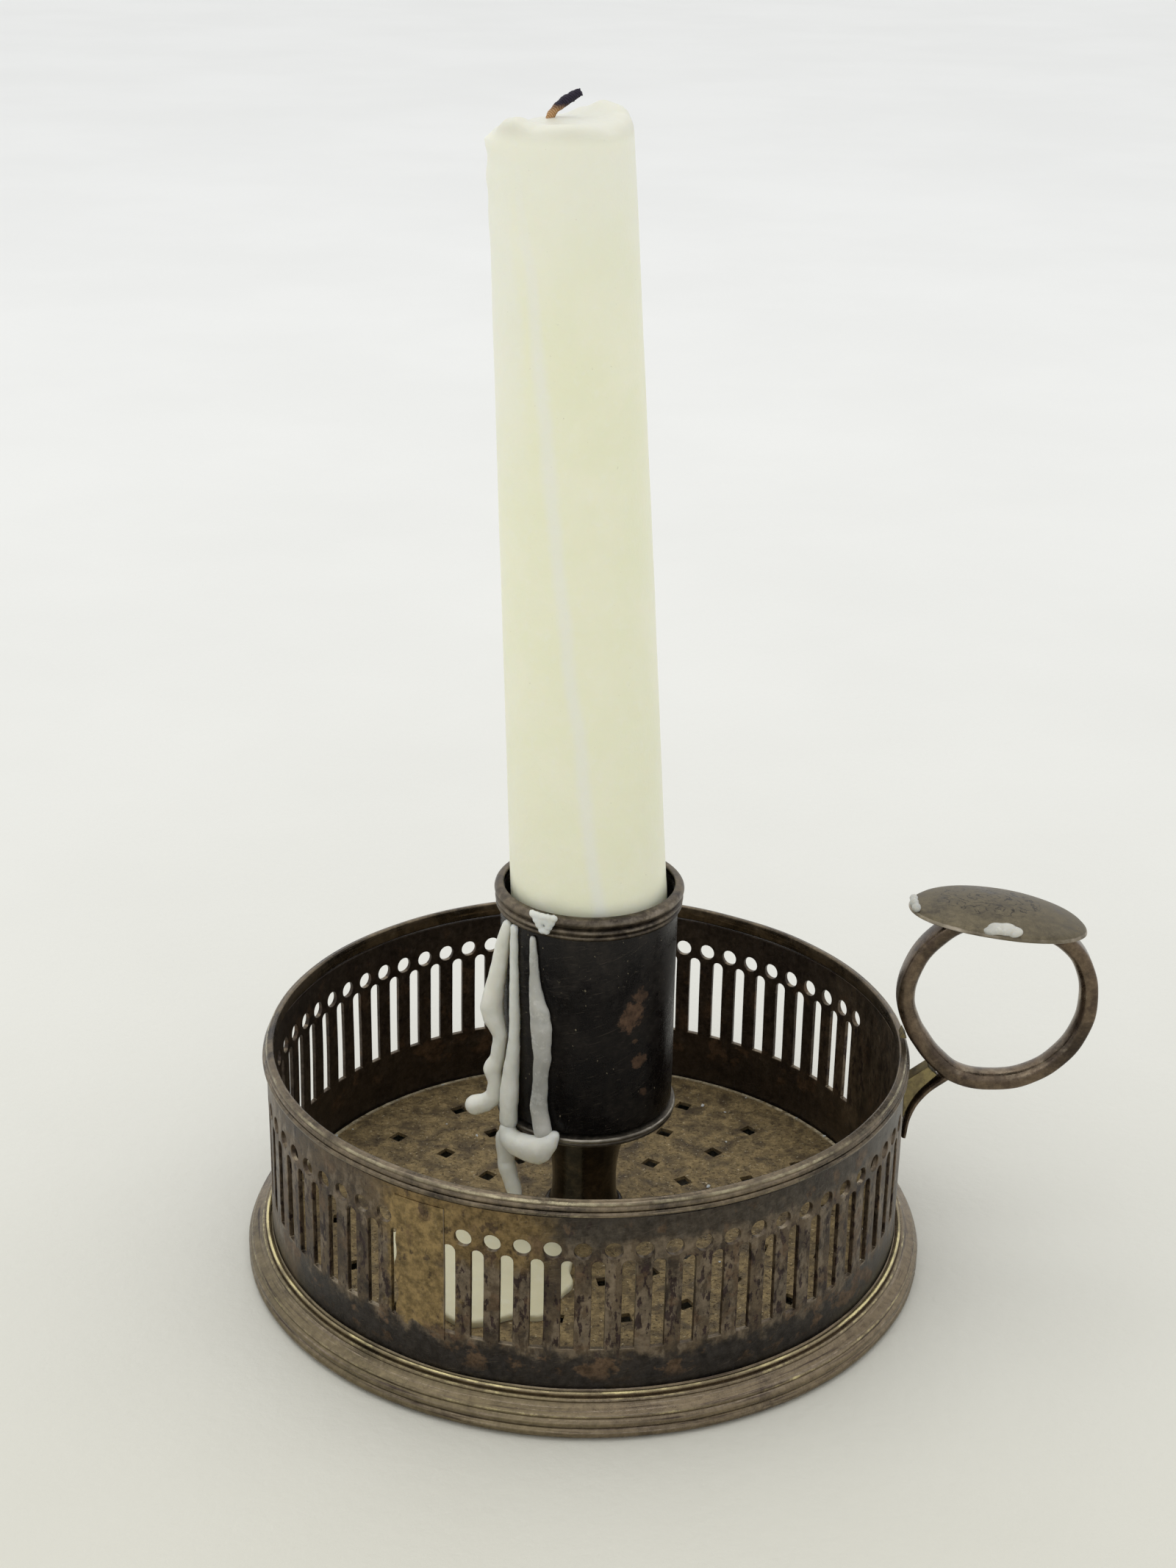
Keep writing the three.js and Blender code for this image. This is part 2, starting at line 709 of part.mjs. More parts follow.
// A drop on the thumb piece, at shares of the piece's half length and half width.
function waxDrop(alongShare, acrossShare, radius) {
  const nearest = Math.hypot(alongShare, acrossShare) - (2 * radius) / THUMB_WIDTH;
  const height = THUMB_THICKNESS / 2 + THUMB_CROWN * (1 - Math.max(nearest, 0) ** 2) + SEAT;
  const profile = [
    [0, 0],
    [radius, 0],
    [radius * 0.75, 0.6],
    [0, 0.9],
  ];
  const drop = turned(profile, 12, false);
  drop.translate((alongShare * THUMB_LENGTH) / 2, (acrossShare * THUMB_WIDTH) / 2, height);
  return onThumb(drop);
}

// ---- The candlestick ----------------------------------------------------------------------------

place("foot_rim", footRim(), tarnished);
place("floor_plate", floorPlate(), tarnished);
place("gallery_wall", galleryWall(), tarnished);
place("gallery_rim", galleryRim(), tarnished);
place("seam_strip", seamStrip(), bared);

place("socket_tube", socketTube(), darkened);
place("socket_rim", socketRim(), tarnished);
place("socket_base", socketBase(), tarnished);
place("stem", stem(), darkened);
place("centre_rivet", centreRivet(), tarnished);
place("rivet_washer", rivetWasher(), tarnished);

const strap = handleStrap();
place("handle_strap", strap, tarnished);
place("upper_lug", upperLug(toSolid(strap)), bared);
place("lower_lug", lowerLug(toSolid(strap)), bared);
place("thumb_piece", onThumb(thumbPiece()), tarnished);

place("candle", candle(), waxen);
place("wick", wick(), charred);

const runTop = SOCKET_TOP - SOCKET_RIM_HEIGHT - 0.6;
const beadTop = SOCKET_BASE_TOP;
const leftRun = [
  [187, runTop, 0],
  [187, runTop - 12, 0.3],
  [186, beadTop + 5, 1],
];
const middleRun = [
  [207, runTop, 0],
  [207, runTop - 12, 0],
  [209, beadTop + 2.5, 0.4],
];
const rightRun = [
  [231, runTop, 0],
  [238, runTop - 13, 0],
  [245, beadTop + 2.5, 0.2],
];
place("wax_run_left", waxRun(leftRun, RUN_WIDTH), dripped);
place("wax_run_middle", waxRun(middleRun, RUN_WIDTH), dripped);
place("wax_run_right", waxRun(rightRun, RUN_WIDTH), dripped);
place("wax_pool", waxPool(206, 252, beadTop - 4, beadTop - 0.2), dripped);
place("wax_icicle", waxIcicle(217, beadTop - 4.3, beadTop - 14), dripped);
place("wax_scale", waxScale(235, 3.4), dripped);
place("wax_puddle", waxPuddle(), dripped);
place("wax_drop_left", waxDrop(-0.87, -0.05, 1.3), dripped);
place("wax_drop_front", waxDrop(-0.08, -0.8, 1.6), dripped);

export default group;
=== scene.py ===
"""A chamber candlestick of worn plate: a pierced gallery on a reeded foot, a socket on a spool stem,
a ring handle with an oval thumb piece, and a part-burnt candle with its runs of wax."""

import math
import random

import bmesh
import bpy
from mathutils import Matrix, Vector, noise


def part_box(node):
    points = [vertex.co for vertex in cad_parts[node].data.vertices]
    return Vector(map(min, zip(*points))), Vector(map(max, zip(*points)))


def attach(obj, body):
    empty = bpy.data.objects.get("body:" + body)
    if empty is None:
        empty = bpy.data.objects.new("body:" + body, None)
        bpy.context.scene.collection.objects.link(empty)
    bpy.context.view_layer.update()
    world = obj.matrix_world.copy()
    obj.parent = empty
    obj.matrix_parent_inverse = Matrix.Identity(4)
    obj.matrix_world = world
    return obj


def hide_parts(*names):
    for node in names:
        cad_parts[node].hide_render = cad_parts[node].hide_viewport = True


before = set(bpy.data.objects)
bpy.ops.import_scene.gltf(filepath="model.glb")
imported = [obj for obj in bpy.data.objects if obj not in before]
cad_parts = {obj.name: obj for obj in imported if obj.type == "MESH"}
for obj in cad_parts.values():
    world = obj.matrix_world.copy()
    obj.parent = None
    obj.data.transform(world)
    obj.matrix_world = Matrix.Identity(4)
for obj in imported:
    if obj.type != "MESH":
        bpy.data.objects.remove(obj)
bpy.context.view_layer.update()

# ---- Sizes, in millimetres ----------------------------------------------------------------------

MM = 0.001


def box_mm(node):
    """The lowest and highest corners of a node of the frame, in millimetres."""
    low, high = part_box(node)
    return Vector(low) / MM, Vector(high) / MM


WALL_LOW, WALL_HIGH = box_mm("gallery_wall")
RIM_LOW, RIM_HIGH = box_mm("gallery_rim")
FOOT_HIGH = box_mm("foot_rim")[1]
FLOOR_LOW, FLOOR_HIGH = box_mm("floor_plate")
TUBE_LOW, TUBE_HIGH = box_mm("socket_tube")
COLLAR_LOW, COLLAR_HIGH = box_mm("socket_rim")
BASE_LOW, BASE_HIGH = box_mm("socket_base")
STEM_LOW, STEM_HIGH = box_mm("stem")
RIVET_LOW, RIVET_HIGH = box_mm("centre_rivet")
WASHER_LOW, WASHER_HIGH = box_mm("rivet_washer")
CANDLE_HIGH = box_mm("candle")[1]

SEAT = 0.3
SHEET = 0.7
WALL_RADIUS = WALL_HIGH.x
PIERCINGS = 72
SLOT_WIDTH = 1.8
SLOT_FLOOR = 11.9
SLOT_HEAD = 25.5
HOLE_RADIUS = 1.22
HOLE_HEIGHT = 27.0
SEAM_SPAN = (-122.5, -113.2)
PLAIN_SPANS = [(-13.5, 23.5), SEAM_SPAN]

TUBE_RADIUS = TUBE_HIGH.x
BORE_RADIUS = TUBE_RADIUS - 0.6
COLLAR_RADIUS = COLLAR_HIGH.x
BEAD_RADIUS = BASE_HIGH.x
RIVET_BORE = 1.9

CANDLE_LEAN = math.radians(2.85)
CANDLE_FOOT = Vector((1.469, 0, 25.7))
CANDLE_LENGTH = 138.47
CANDLE_RADIUS = 11.05
CANDLE_TOP_RADIUS = 9.1

STRAP_THICKNESS = 2.6
STRAP_WIDTH = 3.6
RING_CENTRE = Vector((58.75, 0, 41.0))
RING_RADIUS = 13.05
THUMB_CENTRE = Vector((58.0, 0, 54.17))
THUMB_LENGTH = 25.6
THUMB_WIDTH = 16.5
THUMB_TILT = math.radians(6.9)
THUMB_CROWN = 1.6
THUMB_DROOP = 0.55


# ---- Shader nodes -------------------------------------------------------------------------------


def fill(tree, made, inputs):
    """Sets a node's inputs to values, or joins them to other nodes' outputs."""
    for key, value in inputs.items():
        if isinstance(value, bpy.types.NodeSocket):
            tree.links.new(value, made.inputs[key])
        else:
            made.inputs[key].default_value = value
    return made.outputs


def add(tree, kind, inputs=None, **settings):
    """A new node with its settings and inputs; gives its outputs."""
    made = tree.nodes.new(kind)
    for key, value in settings.items():
        setattr(made, key, value)
    return fill(tree, made, inputs or {})


def math_node(tree, operation, *values):
    return add(tree, "ShaderNodeMath", dict(enumerate(values)), operation=operation)[0]


def plus(tree, first, second):
    return math_node(tree, "ADD", first, second)


def minus(tree, first, second):
    return math_node(tree, "SUBTRACT", first, second)


def times(tree, first, *others):
    for other in others:
        first = math_node(tree, "MULTIPLY", first, other)
    return first


def vector_math(tree, operation, *values):
    """A vector, or a number where the operation measures one."""
    made = add(tree, "ShaderNodeVectorMath", dict(enumerate(values)), operation=operation)
    return made["Value"] if operation in ("LENGTH", "DISTANCE") else made["Vector"]


def axes(tree, vector):
    """A vector's X, Y and Z."""
    return add(tree, "ShaderNodeSeparateXYZ", {0: vector})


def mix_colour(tree, share, under, over, blend="MIX"):
    return add(tree, "ShaderNodeMix", {0: share, 6: under, 7: over}, data_type="RGBA", blend_type=blend)[2]


def mix_value(tree, share, under, over):
    return add(tree, "ShaderNodeMix", {0: share, 2: under, 3: over}, data_type="FLOAT")[0]


def ramp(tree, value, start, end):
    """0 below start, 1 above end, smooth between; start may be above end."""
    inputs = {"Value": value, "From Min": start, "From Max": end}
    return add(tree, "ShaderNodeMapRange", inputs, interpolation_type="SMOOTHSTEP")[0]


def speckle(tree, place, scale, detail=3, roughness=0.6, distortion=0.0):
    inputs = {"Vector": place, "Scale": scale, "Detail": detail}
    inputs.update({"Roughness": roughness, "Distortion": distortion})
    return add(tree, "ShaderNodeTexNoise", inputs)["Fac"]


SOCKET_KINDS = {1: "NodeSocketFloat", 3: "NodeSocketVector", 4: "NodeSocketColor"}


def group(name, **inputs):
    """A new shader group that is given a place and the named inputs; gives its tree and those inputs."""
    tree = bpy.data.node_groups.new(name, "ShaderNodeTree")
    for key, value in {"Place": (0, 0, 0), **inputs}.items():
        kind = SOCKET_KINDS[len(value) if isinstance(value, tuple) else 1]
        socket = tree.interface.new_socket(name=key.replace("_", " "), in_out="INPUT", socket_type=kind)
        socket.default_value = value
    return tree, add(tree, "NodeGroupInput")


def deliver(tree, **results):
    """Ends a group with its results."""
    for label in results:
        kind = SOCKET_KINDS[4 if label == "Color" else 1]
        tree.interface.new_socket(name=label, in_out="OUTPUT", socket_type=kind)
    fill(tree, tree.nodes.new("NodeGroupOutput"), results)
    return tree


def placed(tree, shared, **inputs):
    """A shared group in a material, with that material's own values."""
    made = tree.nodes.new("ShaderNodeGroup")
    made.node_tree = shared
    return fill(tree, made, {key.replace("_", " "): value for key, value in inputs.items()})


def colour(red, green, blue):
    return (red, green, blue, 1)


# How far an arc patch's ragged edge wanders, round the axis in degrees and up in millimetres.
RAG_TURN = 12
RAG_RISE = 6
# The radius at which streaks have their stated length.
STREAK_RADIUS = 46


def build_arc():
    """A patch on a turned surface: between two heights, round a direction from the axis, ragged edged."""
    tree, given = group(
        "Arc patch",
        Direction=0.0,
        Half_width=20.0,
        Bottom=0.0,
        Top=10.0,
        Softness=3.0,
        Raggedness=1.0,
    )
    split = axes(tree, given["Place"])
    azimuth = math_node(tree, "DEGREES", math_node(tree, "ARCTAN2", split["Y"], split["X"]))
    offset = minus(tree, azimuth, given["Direction"])
    turn = math_node(tree, "ABSOLUTE", math_node(tree, "WRAP", offset, 180, -180))
    rag = minus(tree, speckle(tree, given["Place"], 0.35, 5, 0.65), 0.5)
    rag = times(tree, rag, given["Raggedness"])
    turn = plus(tree, turn, times(tree, rag, RAG_TURN))
    height = plus(tree, split["Z"], times(tree, rag, RAG_RISE))
    soft = given["Softness"]
    across = ramp(tree, turn, plus(tree, given["Half width"], soft), given["Half width"])
    over = ramp(tree, height, minus(tree, given["Bottom"], times(tree, soft, 0.3)), given["Bottom"])
    under = ramp(tree, height, plus(tree, given["Top"], times(tree, soft, 0.3)), given["Top"])
    both = times(tree, across, over, under)
    return deliver(tree, Mask=both)


def build_spot():
    """A ragged round patch about a point."""
    tree, given = group("Spot", Centre=(0, 0, 0), Radius=3.0, Raggedness=1.0)
    reach = vector_math(tree, "DISTANCE", given["Place"], given["Centre"])
    rag = minus(tree, speckle(tree, given["Place"], 0.55, 5, 0.7), 0.5)
    spread = times(tree, rag, given["Raggedness"], given["Radius"])
    reach = plus(tree, reach, times(tree, spread, 3))
    inner = times(tree, given["Radius"], 0.6)
    return deliver(tree, Mask=ramp(tree, reach, given["Radius"], inner))


def build_blotches():
    """Blotches between two heights, round or drawn out upright."""
    tree, given = group("Blotches", Size=1.5, Length=2.5, Bottom=0.0, Top=30.0, Level=0.56)
    upright = math_node(tree, "DIVIDE", 1, given["Length"])
    squeezed = add(tree, "ShaderNodeCombineXYZ", {0: 1.0, 1: 1.0, 2: upright})[0]
    drawn = vector_math(tree, "MULTIPLY", given["Place"], squeezed)
    spots = speckle(tree, drawn, math_node(tree, "DIVIDE", 1, given["Size"]), 4, 0.6)
    spots = ramp(tree, spots, given["Level"], plus(tree, given["Level"], 0.07))
    height = axes(tree, given["Place"])["Z"]
    over = ramp(tree, height, minus(tree, given["Bottom"], 1), plus(tree, given["Bottom"], 1))
    under = ramp(tree, height, plus(tree, given["Top"], 1), minus(tree, given["Top"], 1))
    both = times(tree, spots, over, under)
    return deliver(tree, Mask=both)


def build_ring():
    """A thin broken line round the axis, where dirt and old polish gather in a joint."""
    tree, given = group("Ring line", Radius=10.0, Half_width=0.5, Level=0.4)
    flat = vector_math(tree, "MULTIPLY", given["Place"], (1, 1, 0))
    reach = vector_math(tree, "LENGTH", flat)
    off = math_node(tree, "ABSOLUTE", minus(tree, reach, given["Radius"]))
    line = ramp(tree, off, given["Half width"], times(tree, given["Half width"], 0.4))
    gaps = speckle(tree, given["Place"], 0.7, 5, 0.75)
    broken = ramp(tree, gaps, given["Level"], plus(tree, given["Level"], 0.15))
    return deliver(tree, Mask=times(tree, line, broken))


def build_streaks():
    """Long streaks that run round the axis, as drawing and rubbing leave them."""
    tree, given = group("Round streaks", Size=0.5, Length=20.0, Level=0.5)
    split = axes(tree, given["Place"])
    flat = vector_math(tree, "MULTIPLY", given["Place"], (1, 1, 0))
    reach = vector_math(tree, "LENGTH", flat)
    direction = vector_math(tree, "NORMALIZE", flat)
    drawn = axes(tree, direction)
    turn = math_node(tree, "DIVIDE", STREAK_RADIUS, given["Length"])
    fine = math_node(tree, "DIVIDE", 1, given["Size"])
    across = times(tree, plus(tree, reach, split["Z"]), fine)
    east = plus(tree, times(tree, drawn["X"], turn), across)
    north = times(tree, drawn["Y"], turn)
    down = times(tree, minus(tree, reach, split["Z"]), fine)
    warped = add(tree, "ShaderNodeCombineXYZ", {0: east, 1: north, 2: down})[0]
    streak = speckle(tree, warped, 1.0, 4, 0.65)
    return deliver(tree, Mask=ramp(tree, streak, given["Level"], plus(tree, given["Level"], 0.14)))


def build_scrolls():
    """Faint rubbed scrollwork in an oval: lines that wander round a centre."""
    tree, given = group("Scrollwork", Centre=(0, 0, 0), Reach=6.0)
    away = vector_math(tree, "SUBTRACT", given["Place"], given["Centre"])
    away = vector_math(tree, "MULTIPLY", away, (0.72, 1, 0))
    reach = vector_math(tree, "LENGTH", away)
    wander = times(tree, speckle(tree, given["Place"], 0.32, 3, 0.6), 16)
    wave = math_node(tree, "SINE", plus(tree, times(tree, reach, 2.4), wander))
    line = ramp(tree, math_node(tree, "ABSOLUTE", wave), 0.55, 0.1)
    inside = ramp(tree, reach, given["Reach"], times(tree, given["Reach"], 0.8))
    rubbed = ramp(tree, speckle(tree, given["Place"], 0.9, 4, 0.7), 0.35, 0.6)
    both = times(tree, line, inside, rubbed)
    return deliver(tree, Mask=both)


def build_tarnish():
    """Old plate gone brown and black: broad clouds, dark flecks, worn crests and fine scratches. The worn
    colour follows the wear value, which on some crests and edges is a painted highlight as well as wear.
    """
    tree, given = group(
        "Tarnish",
        Light=colour(0.3, 0.24, 0.17),
        Middle=colour(0.12, 0.09, 0.07),
        Dark=colour(0.02, 0.018, 0.018),
        Cloud_size=7.0,
        Darkness=0.5,
        Flecks=0.5,
        Wear=0.0,
        Worn_colour=colour(0.55, 0.47, 0.3),
        Metal=0.92,
        Dullness=0.0,
    )
    place = given["Place"]
    cloud_scale = math_node(tree, "DIVIDE", 1, given["Cloud size"])
    clouds = speckle(tree, place, cloud_scale, 6, 0.68, 0.4)
    clouds = ramp(tree, minus(tree, clouds, minus(tree, given["Darkness"], 0.5)), 0.36, 0.64)
    middling = speckle(tree, place, 0.9, 5, 0.7)
    tone = mix_colour(tree, ramp(tree, middling, 0.35, 0.68), given["Middle"], given["Light"])
    base = mix_colour(tree, clouds, given["Dark"], tone)
    runs = vector_math(tree, "MULTIPLY", place, (1, 1, 0.45))
    pits = speckle(tree, runs, 1.9, 5, 0.75, 0.3)
    fleck_mask = times(tree, ramp(tree, pits, 0.55, 0.68), given["Flecks"])
    base = mix_colour(tree, fleck_mask, base, given["Dark"])
    rubbed = speckle(tree, place, 0.6, 5, 0.7)
    rubbed = plus(tree, given["Wear"], minus(tree, rubbed, 0.5))
    worn = times(tree, ramp(tree, rubbed, 0.45, 0.85), ramp(tree, given["Wear"], 0.0, 0.15))
    handled = ramp(tree, speckle(tree, place, 0.1, 4, 0.65), 0.42, 0.62)
    worn = times(tree, worn, mix_value(tree, handled, 0.12, 1.0))
    base = mix_colour(tree, worn, base, given["Worn colour"])
    grain = speckle(tree, place, 7, 3, 0.6)
    base = mix_colour(tree, 0.25, base, mix_colour(tree, grain, colour(0, 0, 0), colour(1, 1, 1)), "OVERLAY")
    rough = mix_value(tree, clouds, 0.34, 0.5)
    rough = mix_value(tree, fleck_mask, rough, 0.62)
    rough = plus(tree, rough, times(tree, minus(tree, middling, 0.5), 0.3))
    rough = mix_value(tree, worn, rough, 0.3)
    rough = plus(tree, rough, given["Dullness"])
    metal = times(tree, given["Metal"], mix_value(tree, fleck_mask, 1.0, 0.6))
    height = times(tree, fleck_mask, -0.6)
    height = plus(tree, height, times(tree, middling, 0.7))
    height = plus(tree, height, times(tree, grain, 0.16))
    return deliver(tree, Color=base, Roughness=rough, Metallic=metal, Height=height)


def build_scratches():
    """Fine hairline scratches in two directions along a surface."""
    tree, given = group("Scratches", Stretch=(0.08, 0.5, 4.0), Amount=0.5)
    total = None
    for turn in (0.35, -0.5):
        lined = add(tree, "ShaderNodeMapping", {"Vector": given["Place"], "Rotation": (turn, 0.2, turn)})[0]
        lined = vector_math(tree, "MULTIPLY", lined, given["Stretch"])
        line = ramp(tree, speckle(tree, lined, 2.2, 3, 0.6), 0.62, 0.72)
        total = line if total is None else math_node(tree, "MAXIMUM", total, line)
    return deliver(tree, Mask=times(tree, total, given["Amount"]))


ARC = build_arc()
SPOT = build_spot()
BLOTCHES = build_blotches()
RING = build_ring()
STREAKS = build_streaks()
SCROLLS = build_scrolls()
TARNISH = build_tarnish()
SCRATCHES = build_scratches()


def new_material(name):
    """A material with its Principled shader, and the surface's place in millimetres."""
    made = bpy.data.materials.new(name)
    made.use_nodes = True
    tree = made.node_tree
    shader = tree.nodes["Principled BSDF"]
    place = add(tree, "ShaderNodeTexCoord")["Object"]
    place = vector_math(tree, "MULTIPLY", place, (1000, 1000, 1000))
    return made, tree, shader, place


def bumped(tree, shader, height, depth):
    bump = add(tree, "ShaderNodeBump", {"Height": height, "Strength": 1.0, "Distance": depth * MM})
    tree.links.new(bump["Normal"], shader.inputs["Normal"])


def attribute(tree, name):
    return add(tree, "ShaderNodeAttribute", attribute_name=name)["Fac"]


def plate(name, tones, offset=(0, 0, 0), patches=(), bump=0.05, scratched=0.25, **values):
    """Tarnished plate in light, middle and dark tones. Each patch is where it lies (a group and its
    inputs), its colour, its share and its roughness."""
    made, tree, shader, place = new_material(name)
    # The wear value gives real wear and, on some crests and edges, a painted highlight.
    wear_and_sheen = attribute(tree, "wear_and_sheen")
    values.update(zip(("Light", "Middle", "Dark"), (colour(*tone) for tone in tones)))
    skin = placed(tree, TARNISH, Place=vector_math(tree, "ADD", place, offset), Wear=wear_and_sheen, **values)
    tone, rough, metal = skin["Color"], skin["Roughness"], skin["Metallic"]
    mottling = ramp(tree, speckle(tree, place, 0.8, 6, 0.72), 0.3, 0.7)
    off_crests = ramp(tree, wear_and_sheen, 0.9, 0.5)
    for (shared, inputs), paint, share, patch_rough in patches:
        mask = placed(tree, shared, Place=place, **inputs)["Mask"]
        mask = times(tree, mask, times(tree, off_crests, share))
        depth = mix_value(tree, mottling, 0.45, 1.35)
        depth = add(tree, "ShaderNodeCombineXYZ", {0: depth, 1: depth, 2: depth})[0]
        tone = mix_colour(tree, mask, tone, mix_colour(tree, 1.0, paint, depth, "MULTIPLY"))
        rough = mix_value(tree, mask, rough, patch_rough)
    lines = placed(tree, SCRATCHES, Place=vector_math(tree, "ADD", place, offset))["Mask"]
    tone = mix_colour(tree, times(tree, lines, scratched), tone, colour(0.4, 0.33, 0.24))
    tree.links.new(tone, shader.inputs["Base Color"])
    tree.links.new(rough, shader.inputs["Roughness"])
    tree.links.new(metal, shader.inputs["Metallic"])
    height = minus(tree, skin["Height"], times(tree, lines, scratched))
    bumped(tree, shader, height, bump)
    return made


def wax_material(name, base, deep, subsurface, roughness, streak=0.0):
    """Candle wax: cloudy, faintly speckled, a little translucent, with a soft shine."""
    made, tree, shader, place = new_material(name)
    clouds = ramp(tree, speckle(tree, place, 0.09, 5, 0.6, 0.5), 0.3, 0.7)
    tone = mix_colour(tree, clouds, deep, base)
    bloom = ramp(tree, speckle(tree, place, 0.7, 5, 0.7), 0.5, 0.75)
    tone = mix_colour(tree, times(tree, bloom, 0.2), tone, colour(0.9, 0.9, 0.83))
    dirt = ramp(tree, speckle(tree, place, 1.7, 3, 0.6), 0.71, 0.76)
    tone = mix_colour(tree, times(tree, dirt, 0.35), tone, colour(0.36, 0.33, 0.22))
    if streak:
        # A faint run mark slants down the front.
        split = axes(tree, place)
        line = plus(tree, split["X"], times(tree, split["Z"], 0.115))
        wobble = times(tree, speckle(tree, place, 0.05, 2, 0.5), 3)
        line = math_node(tree, "ABSOLUTE", minus(tree, plus(tree, line, wobble), 9.4))
        front = ramp(tree, split["Y"], 0, -3)
        streaked = times(tree, ramp(tree, line, 1.5, 0.2), front)
        # The upper length is frosted on its left, and all round towards the top.
        frosted = plus(tree, split["X"], times(tree, split["Z"], math.tan(CANDLE_LEAN)))
        frosted = ramp(tree, plus(tree, frosted, times(tree, clouds, 1.2)), -1.6, -3.4)
        frosted = times(tree, frosted, ramp(tree, split["Z"], 105, 150))
        frosted = math_node(tree, "MAXIMUM", frosted, ramp(tree, split["Z"], 130, 164))
        streaked = math_node(tree, "MAXIMUM", streaked, frosted)
        tone = mix_colour(tree, times(tree, streaked, streak), tone, colour(0.86, 0.86, 0.8))
        # The burnt end is duller.
        molten = ramp(tree, split["Z"], 160.5, 162.8)
        tone = mix_colour(tree, times(tree, molten, 0.9), tone, colour(0.7, 0.69, 0.58))
    tree.links.new(tone, shader.inputs["Base Color"])
    rough = mix_value(tree, bloom, roughness, roughness + 0.18)
    tree.links.new(rough, shader.inputs["Roughness"])
    shader.inputs["Subsurface Weight"].default_value = subsurface
    shader.inputs["Subsurface Radius"].default_value = (1.0, 0.8, 0.5)
    shader.inputs["Subsurface Scale"].default_value = 3 * MM
    shader.inputs["Specular IOR Level"].default_value = 0.4
    ripples = speckle(tree, place, 0.35, 4, 0.55)
    height = plus(tree, ripples, times(tree, speckle(tree, place, 3, 3, 0.6), 0.12))
    bumped(tree, shader, height, 0.12)
    return made


# ---- Making pieces ------------------------------------------------------------------------------


def crest_layer(bm):
    return bm.verts.layers.float.get("wear_and_sheen") or bm.verts.layers.float.new("wear_and_sheen")


def turned(profile, steps, closed=True):
    """Spins a profile of (radius, height, wear) points about the socket's axis."""
    bm = bmesh.new()
    crest = crest_layer(bm)
    verts = []
    for radius, height, *wear_and_sheen in profile:
        vert = bm.verts.new((radius, 0, height))
        vert[crest] = wear_and_sheen[0] if wear_and_sheen else 0.0
        verts.append(vert)
    edges = [bm.edges.new(pair) for pair in zip(verts, verts[1:])]
    if closed:
        edges.append(bm.edges.new((verts[-1], verts[0])))
    bmesh.ops.spin(
        bm, geom=verts + edges, cent=(0, 0, 0), axis=(0, 0, 1), angle=2 * math.pi, steps=steps, use_merge=True
    )
    bmesh.ops.remove_doubles(bm, verts=bm.verts, dist=1e-4)
    bmesh.ops.recalc_face_normals(bm, faces=bm.faces)
    return bm


def reed(radius, height, size, start, end, wear_and_sheen=1.0, steps=6):
    """Part of a round moulding, as profile points from one angle to another, worn at its middle; where the
    wear value is set high, the worn colour there also paints a highlight along the crest.
    """
    points = []
    for step in range(steps + 1):
        share = step / steps
        angle = math.radians(start + (end - start) * share)
        crest = wear_and_sheen * math.sin(math.pi * share) ** 0.7
        points.append((radius + size * math.cos(angle), height + size * math.sin(angle), crest))
    return points


def roughen(bm, depth, size, seed=0.0):
    """Hand-made unevenness: every point is moved a little, along a smooth random field. Blender draws
    the field anew each time it starts, so two runs differ by up to about the depth."""
    for vert in bm.verts:
        sample = vert.co / size + Vector((seed, seed * 1.7, -seed))
        vert.co += noise.noise_vector(sample) * depth


def as_piece(bm, name, material, node, sharp=50, body="holder"):
    """Makes the finished mesh an object in metres, in its place, riding on its body."""
    bmesh.ops.scale(bm, vec=(MM, MM, MM), verts=bm.verts)
    mesh = bpy.data.meshes.new(name)
    bm.to_mesh(mesh)
    bm.free()
    mesh.shade_smooth()
    mesh.set_sharp_from_angle(angle=math.radians(sharp))
    mesh.materials.append(material)
    piece = bpy.data.objects.new(name, mesh)
    bpy.context.scene.collection.objects.link(piece)
    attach(piece, body)
    if node:
        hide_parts(node)
    return piece


def softened(piece, width, segments=2):
    """Rounds the piece's edges that turn by more than 35 degrees."""
    bevel = piece.modifiers.new("rounding", "BEVEL")
    bevel.width = width * MM
    bevel.segments = segments
    bevel.limit_method = "ANGLE"
    bevel.angle_limit = math.radians(35)
    bevel.harden_normals = True
    return piece


def from_node(node):
    """A frame node's mesh as a clean solid in millimetres, with its loose triangles merged."""
    bm = bmesh.new()
    bm.from_mesh(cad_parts[node].data)
    bmesh.ops.scale(bm, vec=(1 / MM, 1 / MM, 1 / MM), verts=bm.verts)
    bmesh.ops.remove_doubles(bm, verts=bm.verts, dist=1e-3)
    bmesh.ops.dissolve_limit(bm, angle_limit=math.radians(1), verts=bm.verts, edges=bm.edges)
    crest_layer(bm)
    return bm


